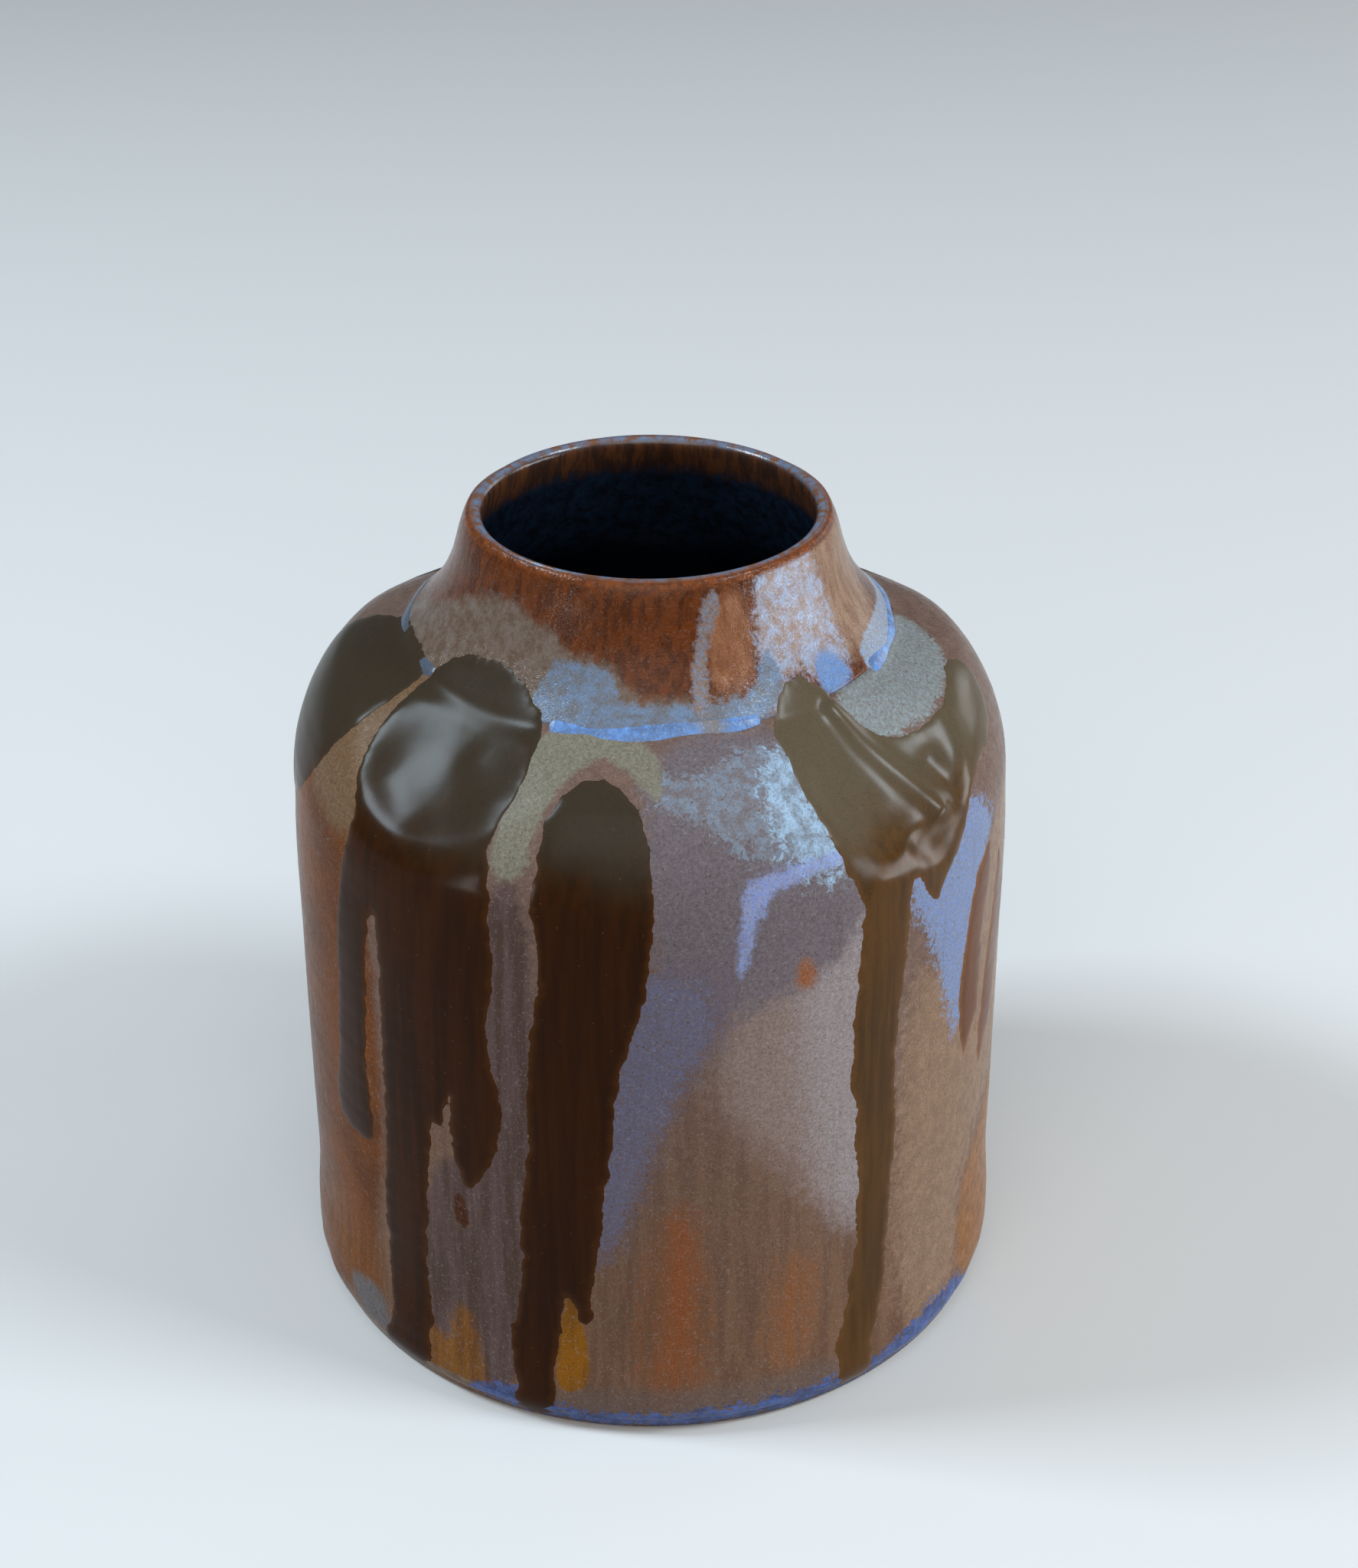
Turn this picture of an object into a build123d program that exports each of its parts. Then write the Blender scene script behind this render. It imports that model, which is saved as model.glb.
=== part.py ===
from build123d import *
import math
import os

os.makedirs("parts", exist_ok=True)

# Stoneware vase: thrown body and neck, luted together and glazed. Sizes in mm, foot on z = 0, front faces -Y.
glaze_skin = 0.5       # dipped glaze over the clay, inside and out
run_lift = 0.35        # poured runs stand this far proud of the dipped glaze
foot_radius = 65.6     # outer edge of the ring the vase stands on
foot_ring_width = 6.0
foot_recess = 2.6      # trimmed hollow inside the foot ring
lip_radius = 31.6      # crown of the rounded lip, where the inside and outside glazes meet
lip_height = 160.0
seam_radius = 44.6     # luted joint, a cone square to the wall
seam_height = 137.55
seam_slope = (0.57, 0.82)
floor_top = 9.2        # the thrown body in four runs of clay: floor, heel, straight wall, shoulder
heel_top = 20.0
wall_top = 112.0

# glazed outer surface going up, as radius and height
body_line = [
    (68.0, 1.2), (69.3, 5.0), (69.4, 10.5), (68.7, 20.0), (68.45, 40.0), (68.0, 75.0), (67.3, 104.0),
    (66.1, 116.0), (64.0, 122.0), (61.1, 127.0), (57.9, 130.6), (54.0, 133.1), (49.5, 135.1), (45.0, 137.1),
]
neck_line = [
    (44.2, 138.0), (41.2, 141.2), (38.7, 144.6), (36.8, 148.2), (35.4, 152.0), (34.3, 156.0), (33.2, 158.9),
]
outer_line = body_line + neck_line

# glazed inner surface, from the middle of the floor up to the lip
inner_line = [
    (0.0, 8.5), (30.0, 8.6), (50.0, 9.2), (58.0, 11.4), (61.6, 16.0), (62.5, 24.0), (62.6, 55.0), (62.2, 90.0),
    (60.6, 104.0), (57.2, 113.6), (52.4, 120.4), (46.8, 126.0), (41.6, 131.0), (37.4, 136.8), (34.6, 142.8),
    (32.6, 148.4), (31.2, 153.2), (30.2, 157.0), (30.0, 158.4),
]

# pressed dimples: azimuth from the front towards +X, then the reach, height and radius of the ball that forms one
dimples = [
    (-41.5, 91.0, 171.5, 58.5),
    (44.0, 89.1, 163.1, 51.8),
    (137.0, 90.2, 168.0, 55.5),
    (-139.0, 91.0, 171.5, 58.0),
]


def moved(line, depth):
    """The same line set back square to itself by depth, into the clay or out of it."""
    points = []
    for index, (radius, height) in enumerate(line):
        before = line[max(index - 1, 0)]
        after = line[min(index + 1, len(line) - 1)]
        run = after[0] - before[0]
        rise = after[1] - before[1]
        length = math.hypot(run, rise)
        points.append((radius - depth * rise / length, height + depth * run / length))
    return points


def rounded(points):
    """A closed outline with each corner cut back a quarter of the way along both of its sides."""
    cut = []
    for (x0, y0), (x1, y1) in zip(points, points[1:] + points[:1]):
        cut.append((0.75 * x0 + 0.25 * x1, 0.75 * y0 + 0.25 * y1))
        cut.append((0.25 * x0 + 0.75 * x1, 0.25 * y0 + 0.75 * y1))
    return cut


def whole(solid):
    """The solid without the slivers that a cut along a shared face can leave."""
    with BuildPart() as kept:
        for lump in solid.solids():
            if lump.volume > 5:
                add(lump)
    return kept.part


def around(azimuth, radius, height):
    angle = math.radians(azimuth)
    return (radius * math.sin(angle), -radius * math.cos(angle), height)


def dimpled(solid, allowance):
    """Press the dimples into a solid, with the balls grown by the allowance."""
    with BuildPart() as pressed:
        add(solid)
        for azimuth, reach, height, radius in dimples:
            with Locations(around(azimuth, reach, height)):
                Sphere(radius + allowance, mode=Mode.SUBTRACT)
    return pressed.part


def outer_form(depth, floor_points):
    """Solid turned to the outer surface set back by depth, up to the crown of the lip and hollowed by a cone."""
    line = moved(outer_line, depth)
    crown = (lip_radius, lip_height - depth)
    swell = (line[-1][0] - 0.28 * (line[-1][0] - crown[0]), line[-1][1] + 0.68 * (crown[1] - line[-1][1]))
    with BuildPart() as turned:
        with BuildSketch(Plane.XZ):
            with BuildLine():
                Polyline((0, floor_points[0][1]), *floor_points, line[0])
                Spline(*line)
                ThreePointArc(line[-1], swell, crown)
                Polyline(crown, (0, crown[1] - lip_radius), (0, floor_points[0][1]))
            make_face()
        revolve(axis=Axis.Z)
    return dimpled(turned.part, depth)


def inner_form(depth, rim_radius, top):
    """Solid that fills the inside, with its wall moved out by depth, over the lip and up to a height above it."""
    line = moved(inner_line, -depth)
    crown = (lip_radius, lip_height - depth)
    swell = (line[-1][0] + 0.29 * (crown[0] - line[-1][0]), line[-1][1] + 0.71 * (crown[1] - line[-1][1]))
    above = [(rim_radius, crown[1]), (rim_radius, top), (0, top), line[0]]
    if rim_radius > lip_radius:
        above.insert(0, crown)
    with BuildPart() as turned:
        with BuildSketch(Plane.XZ):
            with BuildLine():
                Spline(*line)
                ThreePointArc(line[-1], swell, crown)
                Polyline(*above)
            make_face()
        revolve(axis=Axis.Z)
    return turned.part


def surface_radius(height):
    for low, high in zip(outer_line, outer_line[1:]):
        if low[1] <= height <= high[1]:
            share = (height - low[1]) / (high[1] - low[1])
            return low[0] + share * (high[0] - low[0])
    return outer_line[0][0]


def pour_shape(facing, outline):
    """Prism through the wall, seen from facing degrees round and 40 degrees above, round one poured run."""
    tilt = math.radians(40)
    angle = math.radians(facing)
    toward = Vector(math.sin(angle) * math.cos(tilt), -math.cos(angle) * math.cos(tilt), math.sin(tilt))
    across = Vector(math.cos(angle), math.sin(angle), 0)
    points = []
    for azimuth, height in outline:
        radius = surface_radius(height)
        turn = math.radians(azimuth - facing)
        points.append((
            radius * math.sin(turn),
            height * math.cos(tilt) - radius * math.cos(turn) * math.sin(tilt),
        ))
    with BuildPart() as prism:
        with BuildSketch(Plane(origin=toward * 34, x_dir=across, z_dir=toward)):
            with BuildLine():
                Polyline(*rounded(points), close=True)
            make_face()
        extrude(amount=130)
    return prism.part


# filled forms that the pieces are cut from
foot_points = [
    (foot_radius - foot_ring_width - foot_recess, foot_recess),
    (foot_radius - foot_ring_width, 0),
    (foot_radius, 0),
]
clay_outside = outer_form(glaze_skin, foot_points)
glaze_outside = outer_form(0, [(62.0, 5.0), (62.0, 1.25)])
runs_outside = outer_form(-run_lift, [(64.0, 7.0), (64.0, 1.5)])

# everything above the luted joint
with BuildPart() as above_seam:
    with BuildSketch(Plane.XZ):
        out_x = seam_radius + 3 * seam_slope[0]
        out_z = seam_height + 3 * seam_slope[1]
        in_x = seam_radius - 11 * seam_slope[0]
        in_z = seam_height - 11 * seam_slope[1]
        with BuildLine():
            Polyline((0, in_z), (in_x, in_z), (out_x, out_z), (90, out_z), (90, 175), (0, 175), close=True)
        make_face()
    revolve(axis=Axis.Z)

inside = inner_form(glaze_skin, lip_radius + 2, 167)

with BuildPart() as clay_floor:
    add(clay_outside)
    add(inside, mode=Mode.SUBTRACT)
    Cylinder(90, floor_top, align=(Align.CENTER, Align.CENTER, Align.MIN), mode=Mode.INTERSECT)

with BuildPart() as clay_heel:
    add(clay_outside)
    add(inside, mode=Mode.SUBTRACT)
    with Locations((0, 0, floor_top)):
        Cylinder(90, heel_top - floor_top, align=(Align.CENTER, Align.CENTER, Align.MIN), mode=Mode.INTERSECT)

with BuildPart() as clay_wall:
    add(clay_outside)
    add(inside, mode=Mode.SUBTRACT)
    with Locations((0, 0, heel_top)):
        Cylinder(90, wall_top - heel_top, align=(Align.CENTER, Align.CENTER, Align.MIN), mode=Mode.INTERSECT)

with BuildPart() as clay_shoulder:
    add(clay_outside)
    add(inside, mode=Mode.SUBTRACT)
    add(above_seam.part, mode=Mode.SUBTRACT)
    with Locations((0, 0, wall_top)):
        Cylinder(90, 60, align=(Align.CENTER, Align.CENTER, Align.MIN), mode=Mode.INTERSECT)

with BuildPart() as clay_neck:
    add(clay_outside)
    add(inside, mode=Mode.SUBTRACT)
    add(above_seam.part, mode=Mode.INTERSECT)

with BuildPart() as body_glaze:
    add(glaze_outside)
    add(clay_outside, mode=Mode.SUBTRACT)
    add(above_seam.part, mode=Mode.SUBTRACT)

with BuildPart() as neck_glaze:
    add(glaze_outside)
    add(clay_outside, mode=Mode.SUBTRACT)
    add(above_seam.part, mode=Mode.INTERSECT)
    with Locations((0, 0, 120)):
        Cylinder(lip_radius, 50, align=(Align.CENTER, Align.CENTER, Align.MIN), mode=Mode.SUBTRACT)

with BuildPart() as liner_glaze:
    add(inner_form(glaze_skin, lip_radius, 165))
    add(inner_form(0, lip_radius + 2, 167), mode=Mode.SUBTRACT)

# glaze that ran off the neck and stopped in the crease of the joint, broken by the dimples
with BuildPart() as seam_roll:
    with BuildSketch(Plane.XZ):
        with Locations((seam_radius - 1.2 * seam_slope[0], seam_height - 1.2 * seam_slope[1])):
            Circle(2.1)
    revolve(axis=Axis.Z)
    add(glaze_outside, mode=Mode.SUBTRACT)
    for azimuth, reach, height, radius in dimples:
        with Locations(around(azimuth, reach, height)):
            Sphere(radius, mode=Mode.SUBTRACT)

# glaze gathered in a bead just above the bare foot
with BuildPart() as foot_roll:
    with BuildSketch(Plane.XZ):
        with Locations((66.7, 4.3)):
            Circle(2.9)
    revolve(axis=Axis.Z)
    add(glaze_outside, mode=Mode.SUBTRACT)

# dark poured runs, each an outline of azimuth and height
pours = {
    "run_left": (-42, [
        (-60.0, 138.5), (-55.0, 141.8), (-48.0, 143.1), (-41.0, 143.3), (-33.0, 141.9), (-26.5, 139.0),
        (-24.0, 135.5), (-25.0, 130.0), (-25.8, 125.0), (-24.4, 115.0), (-23.8, 102.0), (-25.0, 89.0),
        (-24.0, 78.0), (-23.2, 69.0), (-24.8, 60.5), (-27.0, 55.0), (-29.2, 52.3), (-31.2, 56.0),
        (-32.4, 61.5), (-34.2, 65.2), (-36.0, 61.0), (-37.0, 51.0), (-37.8, 38.0), (-38.2, 25.0),
        (-37.3, 14.0), (-38.6, 4.0), (-43.5, 2.6), (-48.6, 4.0), (-47.0, 14.0), (-47.5, 28.0),
        (-47.0, 43.0), (-45.8, 59.0), (-45.4, 77.0), (-45.3, 94.0), (-46.6, 102.5), (-48.6, 93.0),
        (-49.7, 79.0), (-50.3, 66.0), (-50.4, 53.5), (-54.0, 49.4), (-59.0, 50.4), (-60.5, 57.0),
        (-58.8, 67.0), (-57.6, 79.0), (-56.6, 92.0), (-55.0, 104.0), (-53.4, 113.0), (-54.2, 122.0),
        (-58.0, 131.0),
    ]),
    "run_middle": (-12, [
        (-9.5, 133.1), (-15.0, 131.4), (-17.7, 126.0), (-17.9, 117.0), (-16.9, 106.0), (-17.6, 93.0),
        (-18.9, 78.0), (-19.5, 62.0), (-20.5, 46.0), (-21.3, 31.0), (-22.4, 18.0), (-21.6, 4.0),
        (-18.8, 2.7), (-16.6, 4.2), (-15.4, 15.0), (-14.4, 27.0), (-13.3, 33.5), (-12.0, 31.0),
        (-10.4, 26.5), (-9.5, 36.0), (-8.0, 48.0), (-6.5, 61.0), (-5.4, 76.0), (-3.8, 88.0),
        (-0.8, 100.0), (0.2, 114.0), (-0.5, 125.5), (-3.6, 131.4),
    ]),
    "run_right": (50, [
        (27.5, 136.4), (29.2, 130.5), (29.9, 123.0), (31.4, 115.5), (32.8, 109.0), (32.0, 99.0),
        (31.2, 88.0), (31.3, 75.0), (32.4, 62.0), (33.1, 48.0), (32.9, 35.0), (31.5, 22.0),
        (30.0, 11.0), (31.2, 3.6), (34.4, 2.7), (37.0, 4.4), (37.4, 13.0), (39.0, 25.0),
        (39.9, 42.0), (39.9, 60.0), (40.0, 80.0), (41.2, 96.0), (42.2, 107.0), (43.4, 111.6),
        (45.6, 108.0), (48.3, 103.6), (51.0, 107.0), (54.0, 111.3), (58.5, 116.0), (64.5, 120.4),
        (72.0, 122.2), (79.5, 124.6), (84.0, 128.4), (81.5, 132.4), (73.0, 132.4), (61.0, 131.4),
        (53.0, 131.8), (47.5, 134.6), (44.5, 138.6), (38.5, 140.8), (32.0, 139.8),
    ]),
    "run_side_front": (62, [
        (66.2, 105.0), (62.4, 103.2), (59.0, 97.5), (57.0, 89.5), (55.8, 80.0), (56.2, 71.5),
        (58.4, 62.6), (61.0, 66.2), (63.2, 72.0), (63.9, 81.0), (64.8, 90.0), (67.0, 98.5),
    ]),
    "run_side_back": (71, [
        (72.2, 99.5), (69.6, 92.5), (68.0, 84.0), (66.3, 75.0), (64.4, 64.0), (66.2, 55.0),
        (69.2, 60.0), (73.0, 67.5), (76.2, 77.0), (78.4, 87.0), (76.4, 95.5),
    ]),
    "run_far_left": (-82, [
        (-62.5, 138.0), (-62.4, 131.0), (-65.6, 123.0), (-69.6, 116.0), (-75.0, 110.5), (-82.0, 107.0),
        (-90.0, 106.2), (-97.0, 109.5), (-101.5, 117.0), (-102.5, 126.0), (-99.5, 133.0), (-93.0, 136.8),
        (-82.0, 138.6), (-71.0, 138.8),
    ]),
    "run_back_left": (-139, [
        (-157.0, 137.5), (-148.0, 141.4), (-139.0, 142.6), (-130.0, 141.4), (-121.5, 137.5), (-119.5, 130.0),
        (-121.5, 120.0), (-124.0, 108.0), (-124.8, 92.0), (-126.5, 74.0), (-129.5, 61.0), (-132.6, 66.0),
        (-134.0, 52.0), (-135.2, 33.0), (-135.6, 12.0), (-138.6, 4.0), (-143.6, 3.2), (-146.4, 12.0),
        (-146.0, 38.0), (-147.4, 64.0), (-150.6, 84.0), (-154.0, 101.0), (-156.4, 117.0), (-158.8, 129.0),
    ]),
    "run_back_right": (137, [
        (119.5, 136.0), (117.5, 128.0), (120.5, 117.0), (123.0, 102.0), (122.4, 84.0), (124.6, 66.0),
        (127.8, 58.0), (130.4, 70.0), (131.6, 52.0), (131.0, 30.0), (131.8, 10.0), (135.0, 3.4),
        (139.4, 4.6), (141.2, 22.0), (140.8, 48.0), (142.4, 74.0), (145.6, 92.0), (149.6, 82.0),
        (152.6, 88.0), (152.4, 104.0), (153.4, 118.0), (156.0, 129.0), (152.0, 137.0), (143.0, 140.6),
        (134.0, 141.2), (126.0, 139.6),
    ]),
    "run_back_middle": (178, [
        (178.0, 133.6), (172.6, 131.0), (170.4, 123.0), (170.8, 108.0), (170.0, 88.0), (171.6, 66.0),
        (172.4, 44.0), (174.6, 27.0), (177.6, 23.5), (180.0, 30.0), (181.0, 50.0), (182.6, 72.0),
        (184.8, 92.0), (185.8, 110.0), (186.4, 123.0), (184.0, 131.0),
    ]),
}

runs = []
for label, (facing, outline) in pours.items():
    with BuildPart() as run:
        add(runs_outside)
        add(pour_shape(facing, outline), mode=Mode.INTERSECT)
        Cylinder(80, 2.2, align=(Align.CENTER, Align.CENTER, Align.MIN), mode=Mode.SUBTRACT)
        add(glaze_outside, mode=Mode.SUBTRACT)
        add(seam_roll.part, mode=Mode.SUBTRACT)
        add(foot_roll.part, mode=Mode.SUBTRACT)
    runs.append((label, run.part))

pieces = [
    ("clay_floor", clay_floor.part),
    ("clay_heel", clay_heel.part),
    ("clay_wall", clay_wall.part),
    ("clay_shoulder", clay_shoulder.part),
    ("clay_neck", clay_neck.part),
    ("body_glaze", body_glaze.part),
    ("neck_glaze", neck_glaze.part),
    ("liner_glaze", liner_glaze.part),
    ("seam_roll", seam_roll.part),
    ("foot_roll", foot_roll.part),
] + runs
for label, shape in pieces:
    piece = whole(shape)
    piece.label = label
    export_step(piece, f"parts/{label}.step")
    box = piece.bounding_box()
    print(label, len(piece.solids()), round(piece.volume), [round(v, 2) for v in (*box.min, *box.max)])
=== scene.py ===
import bpy
import bmesh
import math
import numpy as np
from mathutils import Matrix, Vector, noise


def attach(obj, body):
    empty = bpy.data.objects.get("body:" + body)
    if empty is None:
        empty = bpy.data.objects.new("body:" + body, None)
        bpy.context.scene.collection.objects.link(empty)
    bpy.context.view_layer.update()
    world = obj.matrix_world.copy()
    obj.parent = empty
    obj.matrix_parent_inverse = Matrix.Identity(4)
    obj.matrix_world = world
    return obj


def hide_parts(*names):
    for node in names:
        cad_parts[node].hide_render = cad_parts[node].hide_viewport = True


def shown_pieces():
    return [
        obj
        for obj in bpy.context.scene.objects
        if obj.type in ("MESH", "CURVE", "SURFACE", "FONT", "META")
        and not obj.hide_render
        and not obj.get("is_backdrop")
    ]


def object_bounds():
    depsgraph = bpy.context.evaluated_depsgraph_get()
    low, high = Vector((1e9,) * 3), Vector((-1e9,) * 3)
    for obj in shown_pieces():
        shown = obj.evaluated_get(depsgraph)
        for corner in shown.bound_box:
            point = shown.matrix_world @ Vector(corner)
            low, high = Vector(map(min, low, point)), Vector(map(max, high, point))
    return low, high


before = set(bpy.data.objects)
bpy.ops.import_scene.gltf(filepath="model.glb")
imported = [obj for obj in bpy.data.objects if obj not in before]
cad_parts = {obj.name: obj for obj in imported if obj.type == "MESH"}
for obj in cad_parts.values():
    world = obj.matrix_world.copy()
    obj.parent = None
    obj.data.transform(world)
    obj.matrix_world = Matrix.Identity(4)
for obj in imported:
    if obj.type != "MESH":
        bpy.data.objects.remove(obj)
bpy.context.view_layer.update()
print("frame loaded", len(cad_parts), "nodes")

# sizes below are in millimetres, heights from the foot; azimuths in degrees from the front towards +X
mm = 0.001
unwrapRadius = 64.0      # wall distances are measured on a drum of this radius
poleRadius = 0.01        # closer to the axis than this, a row closes to one point

vaseForm = {
    # glazed outside going up, as radius and height
    "outside": [
        (68.0, 1.2), (69.3, 5.0), (69.4, 10.5), (68.7, 20.0), (68.45, 40.0), (68.0, 75.0), (67.3, 104.0),
        (66.1, 116.0), (64.0, 122.0), (61.1, 127.0), (57.9, 130.6), (54.0, 133.1), (49.5, 135.1), (45.0, 137.1),
        (44.2, 138.0), (41.2, 141.2), (38.7, 144.6), (36.8, 148.2), (35.4, 152.0), (34.3, 156.0), (33.3, 158.6),
        (32.75, 159.55), (31.6, 160.0),
    ],
    # glazed inside, from the middle of the floor up to the crown of the lip
    "inside": [
        (0.0, 8.5), (30.0, 8.6), (50.0, 9.2), (58.0, 11.4), (61.6, 16.0), (62.5, 24.0), (62.6, 55.0), (62.2, 90.0),
        (60.6, 104.0), (57.2, 113.6), (52.4, 120.4), (46.8, 126.0), (41.6, 131.0), (37.4, 136.8), (34.6, 142.8),
        (32.6, 148.4), (31.2, 153.2), (30.2, 157.0), (30.05, 158.6), (30.5, 159.6), (31.6, 160.0),
    ],
    "seamHeight": 137.55,
    "dimples": [(-41.5, 91.0, 171.5, 58.5), (44.0, 89.1, 163.1, 51.8), (137.0, 90.2, 168.0, 55.5), (-139.0, 91.0, 171.5, 58.0)],
    "dimpleRim": 3.0,        # softness of the pressed rim
    "dimpleEase": 0.8,       # the soft rim eats this much of each ball
    # ridges and small hollows left by the fingers: points of azimuth and height, push outwards, width
    "folds": [
        ([(44.0, 136.0), (46.0, 133.0), (49.0, 128.0), (51.5, 121.0)], 1.0, 2.4),
        ([(46.0, 117.0), (48.5, 113.5)], -0.9, 3.4),
        ([(38.5, 121.0), (42.0, 124.0)], -0.5, 4.0),
        ([(56.0, 127.0), (57.0, 121.0)], -0.7, 3.0),
        ([(37.0, 113.0), (44.0, 110.5), (52.0, 112.0)], 0.35, 2.6),
        ([(-50.0, 127.0), (-44.0, 124.0)], -0.5, 5.0),
        ([(-36.0, 133.0), (-30.0, 130.0)], 0.4, 4.0),
        ([(132.0, 128.0), (140.0, 122.0)], 0.5, 3.0),
        ([(-136.0, 130.0), (-142.0, 124.0)], 0.4, 3.4),
    ],
    "lean": 0.12,            # how far the wall wanders from a true circle
    "throwingRings": 0.012,
    "glazeSkin": 0.5,
}


def throughStations(stations, step):
    # smooth line through given stations, stepped evenly
    pts = np.array(stations, float)
    gaps = np.hypot(*np.diff(pts, axis=0).T)
    slopes = np.diff(pts, axis=0) / gaps[:, None]
    middle = (slopes[:-1] * gaps[1:, None] + slopes[1:] * gaps[:-1, None]) / (gaps[:-1] + gaps[1:])[:, None]
    turns = np.vstack([slopes[:1], middle, slopes[-1:]])
    line = []
    for i, gap in enumerate(gaps):
        count = max(2, int(round(gap / step)))
        t = np.linspace(0, 1, count, endpoint=False)[:, None]
        a, b = pts[i], pts[i + 1]
        leaving = (2 * t**3 - 3 * t**2 + 1) * a + (t**3 - 2 * t**2 + t) * gap * turns[i]
        line.append(leaving + (3 * t**2 - 2 * t**3) * b + (t**3 - t**2) * gap * turns[i + 1])
    return np.vstack(line + [pts[-1:]])


def profileTable(stations):
    line = throughStations(stations, 0.25)
    along = np.r_[0, np.cumsum(np.hypot(*np.diff(line, axis=0).T))]
    heading = np.gradient(line, along, axis=0)
    heading /= np.hypot(*heading.T)[:, None]
    return {"line": line, "along": along, "out": np.stack([heading[:, 1], -heading[:, 0]], 1)}


outsideProfile = profileTable(vaseForm["outside"])
insideProfile = profileTable(vaseForm["inside"])


def profilePoint(profile, along, depth):
    # radius and height at a distance along a profile, set back square to it by depth
    radius = np.interp(along, profile["along"], profile["line"][:, 0])
    height = np.interp(along, profile["along"], profile["line"][:, 1])
    outRadius = np.interp(along, profile["along"], profile["out"][:, 0])
    outHeight = np.interp(along, profile["along"], profile["out"][:, 1])
    return radius - depth * outRadius, height - depth * outHeight


def alongAt(height, profile=outsideProfile):
    # distance along the wall at a height
    return np.interp(height, profile["line"][:, 1], profile["along"])


def lineDistance(azimuth, along, points, closed=False):
    # millimetres of unwrapped wall to a line of azimuth and along, and whether the line goes round the point
    middle = (points[:, 0].min() + points[:, 0].max()) / 2
    line = np.stack([np.radians(points[:, 0] - middle) * unwrapRadius, points[:, 1]], 1)
    x = np.radians((azimuth - middle + 180) % 360 - 180) * unwrapRadius
    nearest = np.full(x.shape, 1e9)
    crossings = np.zeros(x.shape, int)
    ends = np.roll(line, -1, axis=0) if closed else line[1:]
    for (x0, y0), (x1, y1) in zip(line, ends):
        dx, dy = x1 - x0, y1 - y0
        t = np.clip(((x - x0) * dx + (along - y0) * dy) / (dx * dx + dy * dy + 1e-9), 0, 1)
        nearest = np.minimum(nearest, np.hypot(x - x0 - t * dx, along - y0 - t * dy))
        if closed and abs(dy) > 1e-9:
            crossings += ((y0 > along) != (y1 > along)) & (x < x0 + (along - y0) * dx / dy)
    return nearest, crossings % 2 == 1


def foldPush(azimuth, along):
    push = np.zeros(np.shape(azimuth))
    for points, amount, width in vaseForm["folds"]:
        line = np.array([(a, float(alongAt(z))) for a, z in points])
        distance, _ = lineDistance(azimuth, along, line)
        push = push + amount * np.exp(-((distance / width) ** 2))
    return push


def wallPoint(azimuth, along, depth, profile=outsideProfile):
    # point of the pressed, slightly uneven wall; depth is into the clay, negative is proud of the glaze
    a = np.radians(azimuth)
    if profile is outsideProfile:
        depth = depth - foldPush(azimuth, along)
    radius, height = profilePoint(profile, along, depth)
    wander = 0.5 * np.sin(2 * a + 0.02 * height + 0.6) + 0.3 * np.sin(3 * a - 0.035 * height + 2.1) + 0.2 * np.sin(5 * a + 0.06 * height)
    rings = np.sin(height / 0.83 + 1.3 * np.sin(a + 1.0)) + 0.6 * np.sin(height / 0.49 + 2.0 * np.sin(a))
    radius = radius + vaseForm["lean"] * wander * np.clip(height / 30, 0, 1) + vaseForm["throwingRings"] * (rings - 1.6)
    point = np.stack([radius * np.sin(a), -radius * np.cos(a), height], -1)
    if profile is insideProfile:
        return point
    for dimpleAzimuth, reach, level, ball in vaseForm["dimples"]:
        d = math.radians(dimpleAzimuth)
        centre = np.array([reach * math.sin(d), -reach * math.cos(d), level])
        away = point - centre
        distance = np.linalg.norm(away, axis=-1)
        bite = ball - vaseForm["dimpleEase"] + depth - distance
        rim = vaseForm["dimpleRim"]
        press = 0.5 * (bite + np.sqrt(bite * bite + rim * rim)) * np.clip(1 + (bite + 3) / 7, 0, 1)
        point = point + away / distance[:, None] * press[:, None]
    return point


def roundedOutline(points, rounds=2):
    # cut the corners of a given outline
    ring = np.array(points, float)
    for _ in range(rounds):
        after = np.roll(ring, -1, axis=0)
        ring = np.stack([0.75 * ring + 0.25 * after, 0.25 * ring + 0.75 * after], 1).reshape(-1, 2)
    return ring


def insideDistance(azimuth, along, outline, rounds=2):
    # millimetres inside an outline of azimuth and height, negative outside it
    points = np.array(outline, float)
    points[:, 1] = alongAt(points[:, 1])
    distance, within = lineDistance(azimuth, along, roundedOutline(points, rounds), closed=True)
    return np.where(within, distance, -distance)


def ragged(azimuth, along, size, seed):
    # soft noise in millimetres of unwrapped wall, about -1 to 1
    u = np.radians(azimuth) * unwrapRadius / size
    v = along / size
    return np.array([noise.noise(Vector((x, y, seed))) for x, y in zip(u, v)]) * 1.6


def newPiece(name, bm, nodes):
    mesh = bpy.data.meshes.new(name)
    bm.to_mesh(mesh)
    bm.free()
    piece = bpy.data.objects.new(name, mesh)
    bpy.context.scene.collection.objects.link(piece)
    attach(piece, "root")
    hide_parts(*nodes)
    return piece


def readAttribute(mesh, name):
    values = np.zeros(len(mesh.vertices), np.float32)
    mesh.attributes[name].data.foreach_get("value", values)
    return values.astype(float)


def writeAttribute(mesh, name, values):
    layer = mesh.attributes.get(name) or mesh.attributes.new(name, "FLOAT", "POINT")
    layer.data.foreach_set("value", np.asarray(values, np.float32))


def setPoints(mesh, points):
    mesh.vertices.foreach_set("co", (points * mm).astype(np.float32).ravel())
    mesh.update()


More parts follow.
